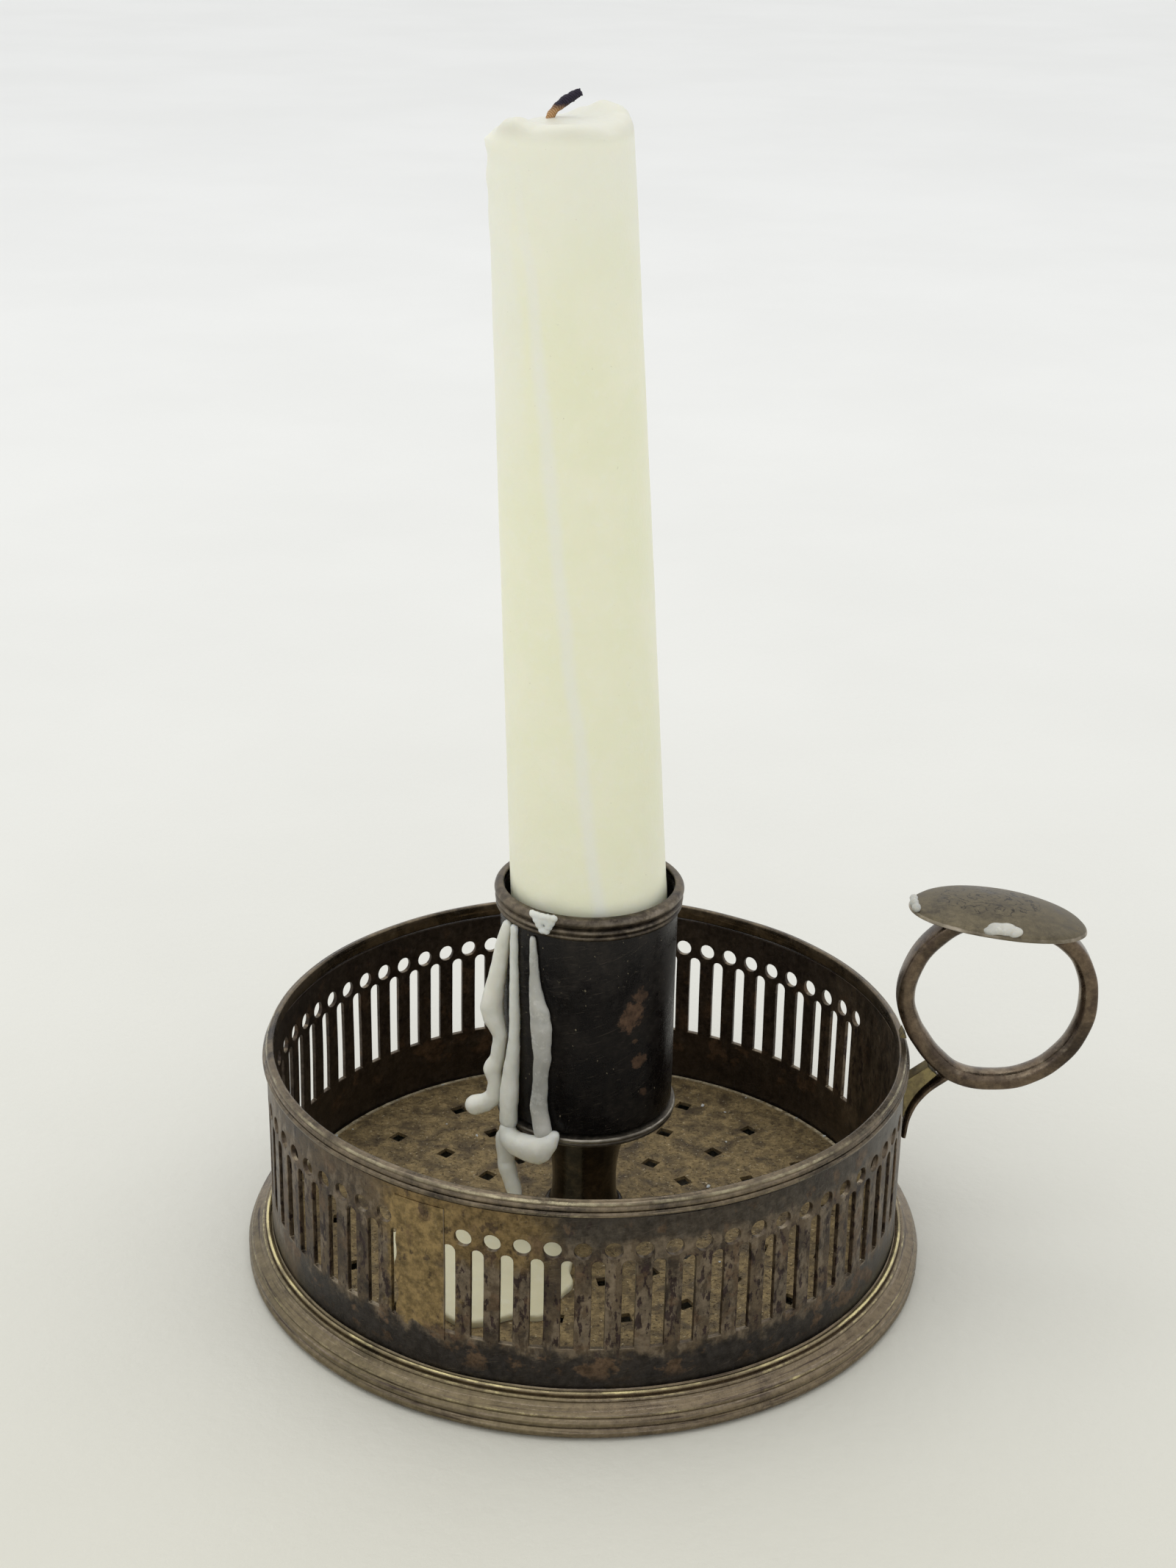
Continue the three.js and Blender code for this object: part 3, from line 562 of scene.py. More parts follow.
def swept(points, section, cyclic=False, sizes=None, resolution=10):
    """Carries a closed section of (across, out) points along a route; gives a bmesh in millimetres."""
    shape = bpy.data.curves.new("section", "CURVE")
    outline = shape.splines.new("POLY")
    outline.points.add(len(section) - 1)
    for point, (across, out) in zip(outline.points, section):
        point.co = (across, out, 0, 1)
    outline.use_cyclic_u = True
    shape_object = bpy.data.objects.new("section", shape)
    route = bpy.data.curves.new("route", "CURVE")
    route.dimensions = "3D"
    route.twist_mode = "MINIMUM"
    route.bevel_mode = "OBJECT"
    route.bevel_object = shape_object
    route.use_fill_caps = not cyclic
    line = route.splines.new("BEZIER")
    line.bezier_points.add(len(points) - 1)
    line.resolution_u = resolution
    line.use_cyclic_u = cyclic
    for index, (knot, at) in enumerate(zip(line.bezier_points, points)):
        knot.co = at
        knot.handle_left_type = knot.handle_right_type = "AUTO"
        knot.radius = sizes[index] if sizes else 1
    route_object = bpy.data.objects.new("route", route)
    for made in (shape_object, route_object):
        bpy.context.scene.collection.objects.link(made)
    ready = route_object.evaluated_get(bpy.context.evaluated_depsgraph_get())
    mesh = bpy.data.meshes.new_from_object(ready)
    bm = bmesh.new()
    bm.from_mesh(mesh)
    for made in (shape_object, route_object):
        bpy.data.objects.remove(made)
    bpy.data.meshes.remove(mesh)
    bmesh.ops.remove_doubles(bm, verts=bm.verts, dist=1e-3)
    bmesh.ops.recalc_face_normals(bm, faces=bm.faces)
    crest_layer(bm)
    return bm


def joined(*parts):
    """Puts several bmeshes into one."""
    whole = parts[0]
    for part in parts[1:]:
        mesh = bpy.data.meshes.new("part")
        part.to_mesh(mesh)
        part.free()
        whole.from_mesh(mesh)
        bpy.data.meshes.remove(mesh)
    return whole


def polar(radius, azimuth, height):
    angle = math.radians(azimuth)
    return Vector((radius * math.cos(angle), radius * math.sin(angle), height))


# ---- Camera, lights and floor -------------------------------------------------------------------


def camera():
    lens = bpy.data.cameras.new("camera")
    lens.lens = 57.0
    lens.sensor_fit = "VERTICAL"
    lens.sensor_height = 36
    lens.clip_start = 0.01
    lens.clip_end = 50
    made = bpy.data.objects.new("camera", lens)
    aim = Vector((-0.46, 0, 73.1))
    distance = 344.2
    elevation = math.radians(22.58)
    roll = math.radians(1.02)
    forward = Vector((0, math.cos(elevation), -math.sin(elevation)))
    right = Vector((1, 0, 0))
    up = right.cross(forward)
    side = right * math.cos(roll) + up * math.sin(roll)
    top = up * math.cos(roll) - right * math.sin(roll)
    turn = Matrix((side, top, -forward)).transposed().to_4x4()
    made.matrix_world = Matrix.Translation((aim - forward * distance) * MM) @ turn
    bpy.context.scene.collection.objects.link(made)
    bpy.context.scene.camera = made


def softbox(name, place, target, size, power):
    light = bpy.data.lights.new(name, "AREA")
    light.shape = "RECTANGLE"
    light.size, light.size_y = size
    light.energy = power
    made = bpy.data.objects.new(name, light)
    made.location = place
    made.rotation_euler = (Vector(target) - Vector(place)).to_track_quat("-Z", "Y").to_euler()
    bpy.context.scene.collection.objects.link(made)


def studio():
    """An even, shadowless light all round, a little stronger from above and behind."""
    world = bpy.data.worlds.new("studio")
    world.use_nodes = True
    tree = world.node_tree
    sky = tree.nodes["Background"]
    way = axes(tree, add(tree, "ShaderNodeTexCoord")["Generated"])
    high = ramp(tree, way["Z"], -0.1, 0.9)
    behind = ramp(tree, way["Y"], -0.9, 0.4)
    power = times(tree, mix_value(tree, high, 0.84, 1.04), mix_value(tree, behind, 0.84, 1.04))
    tree.links.new(power, sky.inputs["Strength"])
    sky.inputs["Color"].default_value = colour(0.97, 0.98, 1.0)
    bpy.context.scene.world = world
    bpy.context.scene.view_settings.view_transform = "Standard"
    softbox("overhead", (-0.1, 0.1, 1.0), (0, 0, 0.05), (0.9, 0.9), 1.6)
    softbox("window", (-0.35, -0.9, 0.55), (0, 0, 0.06), (0.6, 0.6), 0.8)


def table():
    bm = bmesh.new()
    bmesh.ops.create_grid(bm, x_segments=8, y_segments=8, size=12)
    mesh = bpy.data.meshes.new("table")
    bm.to_mesh(mesh)
    bm.free()
    made = bpy.data.objects.new("table", mesh)
    bpy.context.scene.collection.objects.link(made)
    paper, tree, shader, place = new_material("table paper")
    tone = ramp(tree, speckle(tree, place, 0.006, 4, 0.6), 0.3, 0.7)
    # The paper is painted darker close in front of the candlestick and lighter far off: a painted fall of
    # light and shade across the table.
    near = mix_colour(tree, tone, colour(0.63, 0.615, 0.525), colour(0.67, 0.655, 0.565))
    far = mix_colour(tree, tone, colour(0.82, 0.82, 0.79), colour(0.85, 0.85, 0.82))
    before = vector_math(tree, "ADD", place, (0, 150, 0))
    reach = vector_math(tree, "LENGTH", before)
    outward = ramp(tree, math_node(tree, "LOGARITHM", reach, 10), 1.8, 3.1)
    tree.links.new(mix_colour(tree, outward, near, far), shader.inputs["Base Color"])
    shader.inputs["Roughness"].default_value = 0.7
    bumped(tree, shader, speckle(tree, place, 0.4, 4, 0.6), 0.15)
    made.data.materials.append(paper)


# ---- Foot, floor and gallery --------------------------------------------------------------------


def foot_rim(material):
    """The drawn foot: two reeds where the wall stands in it, their crests brass-coloured wear brightened into
    painted highlight lines, a broad cove and a rounded edge.
    """
    outer = FOOT_HIGH.x
    fit = WALL_RADIUS + SEAT
    top = FOOT_HIGH.z
    ledge_top = FLOOR_LOW.z - SEAT
    ledge = WALL_RADIUS - 2.7
    profile = [(outer - 3.1, 0.05), (outer - 2.8, 0), (outer - 1.4, 0), (outer - 0.9, 0.15)]
    profile += reed(outer - 0.75, 1.0, 0.75, -50, 60, 0.2)
    profile += [(outer - 0.42, 1.75, 0)]
    profile += reed(outer - 0.62, 2.5, 0.62, -60, 75, 0.4)
    profile += [(outer - 0.55, 3.2, 0)]
    profile += reed(outer - 0.85, 3.45, 0.4, -30, 80, 0.6)
    profile += [(outer - 0.95, 3.95, 0), (outer - 1.5, 4.15, 0.3)]
    profile += [(outer - 2.0, 4.45, 0.35), (outer - 2.15, 4.62, 0)]
    profile += reed(fit + 0.9, 4.85, 0.36, -20, 110, 0.6)
    profile += [(fit + 0.62, 5.15, 0)]
    # The inner reed takes full wear: its bright worn colour is a painted highlight line along the crest as
    # well as wear.
    profile += reed(fit + 0.34, 5.46, 0.34, -10, 170, 1.0)
    profile += [(fit - SEAT + 0.04, top - 0.12), (fit - SEAT + 0.04, top - 0.5), (fit, top - 0.8)]
    profile += [(fit, ledge_top), (ledge, ledge_top), (ledge, ledge_top - 0.6)]
    profile += [(fit - 0.6, ledge_top - 0.6), (fit - 0.4, 1.2)]
    bm = turned(profile, 180)
    roughen(bm, 0.06, 9)
    return as_piece(bm, "foot_moulding", material, "foot_rim", sharp=70)


def floor_sheet(material):
    bm = from_node("floor_plate")
    piece = as_piece(bm, "floor_sheet", material, "floor_plate", sharp=30)
    return softened(piece, 0.14)


def grid(bm, columns, rows, left, right, bottom, top):
    """A flat sheet of faces between two heights, laid along X."""
    made = bmesh.ops.create_grid(bm, x_segments=columns, y_segments=rows, size=0.5)["verts"]
    bmesh.ops.rotate(bm, verts=made, cent=(0, 0, 0), matrix=Matrix.Rotation(math.pi / 2, 3, "X"))
    bmesh.ops.scale(bm, vec=(right - left, 1, top - bottom), verts=made)
    bmesh.ops.translate(bm, vec=((left + right) / 2, 0, (bottom + top) / 2), verts=made)
    return made


def frame_of(bm, verts):
    """Takes a sheet's faces out and leaves its edge; gives that edge."""
    faces = list({face for vert in verts for face in vert.link_faces})
    bmesh.ops.delete(bm, geom=faces, context="FACES_KEEP_BOUNDARY")
    return [edge for edge in bm.edges if not edge.link_faces]


COLUMNS = 8
PITCH = 2 * math.pi * WALL_RADIUS / PIERCINGS


def pierced_cell(bottom, top, rows, opening):
    """A cell of the gallery with one opening in it, bridged from its edge to the opening's."""
    bm = bmesh.new()
    crest = crest_layer(bm)
    outer = frame_of(bm, grid(bm, COLUMNS, rows, -PITCH / 2, PITCH / 2, bottom, top))
    known = set(bm.verts)
    opening(bm)
    inner_verts = [vert for vert in bm.verts if vert not in known]
    # The sills get a high wear value, so the worn colour paints a highlight along the lower lip of each
    # opening; the rest of each opening's edge gets a little wear.
    sill = min(vert.co.z for vert in inner_verts) + 0.35
    for vert in inner_verts:
        vert[crest] = 0.75 if vert.co.z < sill else 0.32
    inner = [edge for edge in bm.edges if edge not in outer]
    bmesh.ops.bridge_loops(bm, edges=outer + inner)
    return bm


SLOT_ROWS = 10
HOLE_ROWS = 4


def slot_edge(bm):
    """The slot's outline: a strip's edge with its top row pushed up to a half circle."""
    half = SLOT_WIDTH / 2
    centre = SLOT_HEAD - half
    verts = grid(bm, COLUMNS, SLOT_ROWS, -half, half, SLOT_FLOOR, centre)
    kept = [vert for vert in verts if vert.co.z > centre - 1e-4]
    for vert in kept:
        turn = vert.co.x / half * math.pi / 2
        vert.co.x = half * math.sin(turn)
        vert.co.z = centre + half * math.cos(turn)
    frame_of(bm, verts)


def hole_edge(bm):
    """The hole's outline, with a point for each point of its cell's edge."""
    count = 2 * (COLUMNS + HOLE_ROWS)
    made = bmesh.ops.create_circle(bm, cap_ends=False, segments=count, radius=HOLE_RADIUS)["verts"]
    bmesh.ops.rotate(bm, verts=made, cent=(0, 0, 0), matrix=Matrix.Rotation(math.pi / 2, 3, "X"))
    bmesh.ops.translate(bm, vec=(0, 0, HOLE_HEIGHT), verts=made)


def bend_round(bm, outside):
    """Bends a flat sheet, as long along X as the wall is round, about the axis; it faces outwards."""
    for vert in bm.verts:
        angle = vert.co.x / WALL_RADIUS
        vert.co = (outside * math.cos(angle), outside * math.sin(angle), vert.co.z)
    bmesh.ops.remove_doubles(bm, verts=bm.verts, dist=0.01)
    bmesh.ops.recalc_face_normals(bm, faces=bm.faces)
    bm.faces.ensure_lookup_table()
    outward = bm.faces[0].calc_center_median()
    outward.z = 0
    if bm.faces[0].normal.dot(outward) < 0:
        bmesh.ops.reverse_faces(bm, faces=bm.faces)


def plain_at(azimuth):
    return any(low < azimuth < high for low, high in PLAIN_SPANS)


def gallery_wall(material):
    """The strip is laid out flat, one bay of slot and hole repeated, then bent round and thickened."""
    split = (SLOT_HEAD + HOLE_HEIGHT - HOLE_RADIUS) / 2
    slots_from = SLOT_FLOOR - 0.9
    holes_to = 2 * HOLE_HEIGHT - split
    slot_cell = pierced_cell(slots_from, split, SLOT_ROWS, slot_edge)
    hole_cell = pierced_cell(split, holes_to, HOLE_ROWS, hole_edge)
    plain_slot = bmesh.new()
    grid(plain_slot, COLUMNS, SLOT_ROWS, -PITCH / 2, PITCH / 2, slots_from, split)
    plain_hole = bmesh.new()
    grid(plain_hole, COLUMNS, HOLE_ROWS, -PITCH / 2, PITCH / 2, split, holes_to)
    bays = []
    for cell, plain, offset in ((slot_cell, plain_slot, 0.5), (hole_cell, plain_hole, 0.0)):
        whole_mesh = bpy.data.meshes.new("bay")
        plain_mesh = bpy.data.meshes.new("plain bay")
        crest_layer(plain)
        cell.to_mesh(whole_mesh)
        plain.to_mesh(plain_mesh)
        bays.append((whole_mesh, plain_mesh, offset))
        cell.free()
        plain.free()
    bm = bmesh.new()
    crest_layer(bm)
    length = PITCH * PIERCINGS
    for whole_mesh, plain_mesh, offset in bays:
        for index in range(PIERCINGS):
            azimuth = -180 + (index + offset) * 360 / PIERCINGS
            before = len(bm.verts)
            bm.from_mesh(plain_mesh if plain_at(azimuth) else whole_mesh)
            bm.verts.ensure_lookup_table()
            moved = bm.verts[before:]
            along = (index + offset) * PITCH - length / 2
            bmesh.ops.translate(bm, vec=(along, 0, 0), verts=moved)
    half = length / 2
    columns = COLUMNS * PIERCINGS
    grid(bm, columns, 4, -half, half, WALL_LOW.z, slots_from)
    grid(bm, columns, 3, -half, half, holes_to, WALL_HIGH.z)
    bend_round(bm, WALL_RADIUS)
    roughen(bm, 0.12, 14, 3)
    bmesh.ops.solidify(bm, geom=bm.faces[:], thickness=SHEET)
    for whole_mesh, plain_mesh, _ in bays:
        bpy.data.meshes.remove(whole_mesh)
        bpy.data.meshes.remove(plain_mesh)
    piece = as_piece(bm, "pierced_gallery", material, "gallery_wall", sharp=40)
    return softened(piece, 0.12)


def gallery_rim(material):
    """The reeded wire along the top of the gallery."""
    outer = RIM_HIGH.x
    inner = WALL_RADIUS - SHEET - 0.3
    low, top = RIM_LOW.z, RIM_HIGH.z
    profile = [(inner + 0.15, low), (outer - 0.5, low)]
    profile += reed(outer - 0.42, low + 0.42, 0.42, -70, 62, 0.5)
    profile += reed(outer - 0.62, low + 1.08, 0.36, -50, 70, 0.3)
    profile += reed(outer - 0.9, low + 1.66, 0.4, -30, 95, 0.75)
    profile += [(outer - 1.15, top - 0.1, 0.1)]
    profile += reed(inner + 0.3, top - 0.32, 0.3, 80, 185, 0.35)
    profile += [(inner, low + 0.3)]
    bm = turned(profile, 180)
    roughen(bm, 0.08, 11, 5)
    return as_piece(bm, "reeded_rim", material, "gallery_rim", sharp=75)


def seam_strip(material):
    """The lap over the strip's joint, beaten thin, with a ragged edge on its left."""
    bm = bmesh.new()
    crest = crest_layer(bm)
    left, right = (math.radians(turn) * WALL_RADIUS for turn in SEAM_SPAN)
    sheet = grid(bm, 18, 30, left, right, SLOT_FLOOR - 1.4, RIM_LOW.z - 1.5)
    for vert in sheet:
        if vert.co.x < left + 0.01:
            vert.co.x += 0.9 * noise.noise(Vector((vert.co.z / 3.5, 2, 0)))
            vert[crest] = 0.3
        # The right edge gets full wear, whose worn colour paints a highlight line along it.
        if vert.co.x > right - 0.01 and vert.co.z > SLOT_FLOOR:
            vert[crest] = 1.0
    bend_round(bm, WALL_RADIUS + 0.14)
    bm.normal_update()
    roughen(bm, 0.12, 14, 3)
    bmesh.ops.solidify(bm, geom=bm.faces[:], thickness=0.3)
    piece = as_piece(bm, "seam_lap", material, "seam_strip", sharp=30)
    return softened(piece, 0.1, 2)


# ---- Socket and stem ----------------------------------------------------------------------------


def socket_tube(material):
    low, high = TUBE_LOW.z, TUBE_HIGH.z
    wall = [(TUBE_RADIUS, low + 0.1 + (high - low - 0.2) * step / 16) for step in range(17)]
    inside = [(BORE_RADIUS, height) for _, height in reversed(wall)]
    bm = turned(wall + inside, 128)
    roughen(bm, 0.1, 12, 7)
    for vert in bm.verts:
        vert.co.z = min(max(vert.co.z, low), high)
    return as_piece(bm, "socket_barrel", material, "socket_tube", sharp=60)


def socket_rim(material):
    """The collar at the socket's mouth: a turned-in lip over three reeds."""
    fit = TUBE_RADIUS + SEAT
    outer = COLLAR_RADIUS
    low, top = COLLAR_LOW.z, COLLAR_HIGH.z
    lip = top - 0.5
    profile = [(fit, low + 0.1), (outer - 0.35, low)]
    # The reeds' wear values give them worn colour along their crests: partly wear, partly a painted
    # highlight.
    profile += reed(outer - 0.52, low + 0.32, 0.3, -80, 70, 0.5)
    profile += [(outer - 0.36, low + 0.72, 0)]
    profile += reed(outer - 0.52, low + 1.15, 0.4, -60, 70, 0.7)
    profile += [(outer - 0.3, low + 1.62, 0)]
    profile += reed(outer - 0.78, top - 0.82, 0.78, -70, 82, 0.7, 12)
    profile += [(BORE_RADIUS + 0.6, top - 0.06, 0.3)]
    profile += reed(BORE_RADIUS + 0.42, lip + 0.25, 0.25, 95, 265, 0.5)
    profile += [(fit, lip)]
    bm = turned(profile, 128)
    roughen(bm, 0.06, 8, 9)
    return as_piece(bm, "socket_collar", material, "socket_rim", sharp=75)


def socket_base(material):
    """The plate under the socket, with its beaded edge; the bead's crest takes full wear, whose light worn
    colour paints a thin highlight line.
    """
    low, top = BASE_LOW.z, BASE_HIGH.z
    plate_low = top - 0.8
    middle = (low + top) / 2
    profile = [(RIVET_BORE, plate_low), (BEAD_RADIUS - 1.7, plate_low), (BEAD_RADIUS - 1.4, low + 0.3)]
    profile += reed(BEAD_RADIUS - 0.5, low + 0.4, 0.38, -110, 60, 0.4, 6)
    profile += reed(BEAD_RADIUS - 0.36, middle + 0.2, 0.36, -60, 95, 1.0, 8)
    profile += [(BEAD_RADIUS - 0.7, top - 0.18), (BEAD_RADIUS - 1.2, top - 0.1), (RIVET_BORE, top - 0.1)]
    bm = turned(profile, 128)
    roughen(bm, 0.05, 6, 11)
    return as_piece(bm, "socket_plate", material, "socket_base", sharp=70)


def stem(material):
    """The turned spool: a ringed foot, a narrow waist and a flare under the socket."""
    low, top = STEM_LOW.z, STEM_HIGH.z
    profile = [(RIVET_BORE, low), (6.1, low)]
    profile += reed(5.75, low + 0.62, 0.62, -80, 80, 0.6)
    profile += [(5.7, low + 1.4)]
    profile += reed(5.35, low + 1.95, 0.5, -60, 80, 0.8)
    profile += [(5.0, low + 2.6), (4.85, low + 3.6), (4.72, low + 5.2), (4.7, low + 7), (4.85, low + 9)]
    profile += [(5.15, low + 11), (5.6, low + 13), (6.2, low + 14.8), (7.0, low + 16.4), (7.9, low + 17.7)]
    profile += reed(8.35, top - 0.6, 0.6, -60, 85, 0.5)
    profile += [(RIVET_BORE, top)]
    bm = turned(profile, 96)
    roughen(bm, 0.04, 5, 13)
    return as_piece(bm, "spool_stem", material, "stem", sharp=70)


def rivet(material):
    """One rivet draws the socket, stem and floor together; its heads are set by hand."""
    low, top = RIVET_LOW.z, RIVET_HIGH.z
    head = 0.9
    shank = RIVET_BORE - SEAT
    profile = [(0, low), (3.4, low), (4.1, low + 0.2, 0.5), (4.4, low + 0.55, 0.5)]
    profile += [(4.3, low + head), (shank, low + head), (shank, top - head), (3.3, top - head)]
    profile += [(3.4, top - 0.6, 0.4), (2.7, top - 0.15, 0.8), (1.4, top, 0.6), (0, top, 0.5)]
    bm = turned(profile, 48, closed=False)
    return as_piece(bm, "centre_rivet_set", material, "centre_rivet", sharp=50)


def washer(material):
    low, top = WASHER_LOW.z, WASHER_HIGH.z
    edge = WASHER_HIGH.x
    profile = [(RIVET_BORE, low), (edge - 0.25, low), (edge, low + 0.25, 0.8)]
    profile += [(edge, top - 0.2, 0.4), (edge - 0.2, top), (RIVET_BORE, top)]
    bm = turned(profile, 64)
    return as_piece(bm, "rivet_washer_plate", material, "rivet_washer", sharp=50)


# ---- Handle -------------------------------------------------------------------------------------

# The ring's route in shares of its radius: a hand-bent circle, flatter under the thumb plate.
STRAP_ROUTE = [
    (1, 0.02), (0.93, 0.39), (0.73, 0.68), (0.4, 0.86), (0, 0.94), (-0.36, 0.94),
    (-0.7, 0.73), (-0.93, 0.38), (-1, 0), (-0.92, -0.3), (-0.79, -0.52), (-0.62, -0.74),
    (-0.38, -0.93), (0.04, -1), (0.42, -0.92), (0.74, -0.68), (0.94, -0.35),
]


def d_section(width, thickness, steps=20):
    """The strap's section: flat within the ring, rounded outside."""
    points = []
    for step in range(steps):
        angle = 2 * math.pi * step / steps
        round_over = 0.9 if math.sin(angle) > 0 else 0.4
        across = math.copysign(abs(math.cos(angle)) ** round_over, math.cos(angle)) * width / 2
        out = math.copysign(abs(math.sin(angle)) ** round_over, math.sin(angle)) * thickness / 2
        points.append((across, out))
    return points


def handle_strap(material):
    """The ring and its tail, bent from one half-round strap."""
    ring_points = [RING_CENTRE + Vector((x, 0, z)) * RING_RADIUS for x, z in STRAP_ROUTE]
    ring = swept(ring_points, d_section(STRAP_WIDTH, STRAP_THICKNESS, 20), cyclic=True, resolution=8)
    wall = WALL_RADIUS + SEAT
    start = RING_CENTRE + Vector((-0.5, 0, -0.93)) * RING_RADIUS
    reach = start.x - wall
    tail_points = [
        start + Vector((0.9, 0, 0.4)),
        Vector((wall + reach * 0.44, 0, start.z - 3.5)),
        Vector((wall + reach * 0.17, 0, start.z - 6.8)),
        Vector((wall + 0.5, 0, start.z - 10.8)),
    ]
    tail = swept(tail_points, d_section(STRAP_WIDTH - 0.8, 1.0, 16), sizes=[1.15, 1, 0.9, 0.7], resolution=10)
    bm = joined(ring, tail)
    crest = crest_layer(bm)
    bm.normal_update()
    # The wear values paint light: the face turned into the ring gets the worn colour as painted light, so it
    # reads lighter than the outer side, and a band near each edge gets it as a painted highlight line.
    for vert in bm.verts:
        inward = RING_CENTRE - vert.co
        inward.y = 0
        facing = vert.normal.dot(inward.normalized())
        corner = max(0.0, 1 - abs(abs(vert.co.y) / (STRAP_WIDTH / 2) - 0.92) * 9)
        vert[crest] = max(0.0, facing) * 0.72 + corner * 0.4
    roughen(bm, 0.07, 4, 17)
    return as_piece(bm, "ring_handle", material, "handle_strap", sharp=60)


def lug(node, name, material):
    bm = from_node(node)
    piece = as_piece(bm, name, material, node, sharp=30)
    return softened(piece, 0.35, 3)


def thumb_piece(material):
    """The oval plate: a shallow dome of sheet with a bright turned edge."""
    face = 0.55
    sheet = 0.75
    out = (0, 0.12, 0.25, 0.38, 0.5, 0.62, 0.73, 0.83, 0.9, 0.945)
    back = (0.94, 0.88, 0.78, 0.6, 0.4, 0.2, 0)
    over = [(share, THUMB_CROWN * (1 - share ** 2) + face) for share in out]
    edge = [(0.968, 0.5, 0.3), (0.985, 0.36, 0.8), (0.995, 0.18, 1.0), (1.0, 0.0, 1.0), (0.985, -0.12, 0.4)]
    under = [(share, THUMB_CROWN * (1 - share ** 2) + face - sheet) for share in back]
    bm = turned(over + edge + under, 96, closed=False)
    bmesh.ops.scale(bm, vec=(THUMB_LENGTH / 2, THUMB_WIDTH / 2, 1), verts=bm.verts)
    for vert in bm.verts:
        vert.co.z -= THUMB_DROOP * (2 * vert.co.x / THUMB_LENGTH) ** 2
    bmesh.ops.rotate(bm, verts=bm.verts, cent=(0, 0, 0), matrix=Matrix.Rotation(THUMB_TILT, 3, "Y"))
    bmesh.ops.translate(bm, vec=THUMB_CENTRE, verts=bm.verts)
    roughen(bm, 0.1, 7, 19)
    return as_piece(bm, "thumb_plate", material, "thumb_piece", sharp=60)


# ---- Candle -------------------------------------------------------------------------------------


def lean(bm):
    bmesh.ops.rotate(bm, verts=bm.verts, cent=(0, 0, 0), matrix=Matrix.Rotation(-CANDLE_LEAN, 3, "Y"))
    bmesh.ops.translate(bm, vec=CANDLE_FOOT, verts=bm.verts)


# The burnt top from its rounded edge to its middle: radius, and depth below the full length.
CANDLE_DISH = [
    (9.1, 2.5), (8.95, 2.05), (8.7, 1.65), (8.3, 1.32), (7.75, 1.1), (7.1, 1.0), (6.3, 1.02),
    (5.2, 1.08), (4.0, 1.1), (2.8, 1.04), (1.9, 0.96), (1.0, 0.88), (0, 0.85),
]


def spaced(start, end, steps):
    """Points evenly along a straight line, both ends included."""
    points = []
    for step in range(steps + 1):
        points.append(tuple(one + (two - one) * step / steps for one, two in zip(start, end)))
    return points


def candle(material):
    """A plain dinner candle, burnt to a shallow dish with a lumpy lip."""
    length = CANDLE_LENGTH
    shoulder = CANDLE_TOP_RADIUS + 0.3
    profile = [(0, 0.8), (6, 0.8), (8.9, 0.9), (9.75, 1.6)]
    profile += spaced((9.8, 1.6), (CANDLE_RADIUS, 29.6), 20)[1:-1]
    profile += spaced((CANDLE_RADIUS, 30), (shoulder, length - 12), 59)
    profile += spaced((shoulder, length - 12), (shoulder - 0.25, length - 3), 9)[1:]
    profile += [(radius, length - down) for radius, down in CANDLE_DISH]
    bm = turned(profile, 128, closed=False)
    for vert in bm.verts:
        at = vert.co.copy()
        radius = math.hypot(at.x, at.y)
        if at.z > 32:
            out = Vector((at.x, at.y, 0)).normalized() if radius > 0.1 else Vector()
            slow = noise.noise(Vector((at.x / 16, at.y / 16, at.z / 45 + 3)))
            fast = noise.noise(Vector((at.x / 5, at.y / 5, at.z / 9)))
            vert.co += out * (0.1 * slow + 0.04 * fast) * min(1, radius / 4)
        angle = math.degrees(math.atan2(at.y, at.x))
        turn = abs((angle - LIP_SIDE + 180) % 360 - 180)
        for height, size, swell in LIP_RUNS:
            out = Vector((at.x, at.y, 0)).normalized() if radius > 8 else Vector()
            vert.co += out * swell * math.exp(-(((at.z - length - height) / size) ** 2) - (turn / 26) ** 2)
        near_top = max(0.0, min(1.0, (at.z - (length - 3.2)) / 1.6))
        vert.co.z += lip_at(angle) * near_top * max(0.0, min(1.0, (radius - 3.4) / 4.2)) ** 1.5
    lean(bm)
    return as_piece(bm, "burnt_candle", material, "candle", sharp=80, body="candle")


# The lip's height above the dish, by direction from the axis.
CANDLE_LIP = [
    (-180, -1.1), (-158, -0.1), (-142, 1.0), (-131, 1.2), (-121, 0.55), (-112, 0.1), (-98, 0.2),
    (-82, 0.3), (-60, -0.1), (-45, -0.45), (-20, -0.1), (0, 0.35), (24, 1.2), (46, 1.45),
    (68, 0.5), (90, -0.5), (115, -1.5), (150, -1.6), (180, -1.1),
]
# Bulges where wax ran over on the left: its direction, and height from the top, size and swell.
LIP_SIDE = -172
LIP_RUNS = [(-3.2, 1.3, 0.5), (-7.6, 1.6, 0.35), (-12.5, 2.5, 0.15)]


def lip_at(angle):
    for (low, first), (high, second) in zip(CANDLE_LIP, CANDLE_LIP[1:]):
        if low <= angle <= high:
            share = (angle - low) / (high - low)
            share = share * share * (3 - 2 * share)
            return first + (second - first) * share
    return CANDLE_LIP[0][1]


def wick(material):
    start = CANDLE_LENGTH - 1.15
    height = 3.1
    points = [
        Vector((-1.5, 0, start)),
        Vector((-0.9, 0, start + height * 0.3)),
        Vector((0.4, 0, start + height * 0.66)),
        Vector((1.7, 0, start + height * 0.9)),
        Vector((2.7, 0, start + height * 1.04)),
    ]
    circle = [tuple(polar(0.56, angle, 0).xy) for angle in range(0, 360, 20)]
    bm = swept(points, circle, sizes=[0.85, 0.92, 1.08, 1.15, 0.8], resolution=12)
    for vert in bm.verts:
        vert.co += noise.noise_vector(vert.co * 1.9) * 0.16 + noise.noise_vector(vert.co * 5) * 0.05
    lean(bm)
    return as_piece(bm, "burnt_wick", material, "wick", sharp=80, body="candle")


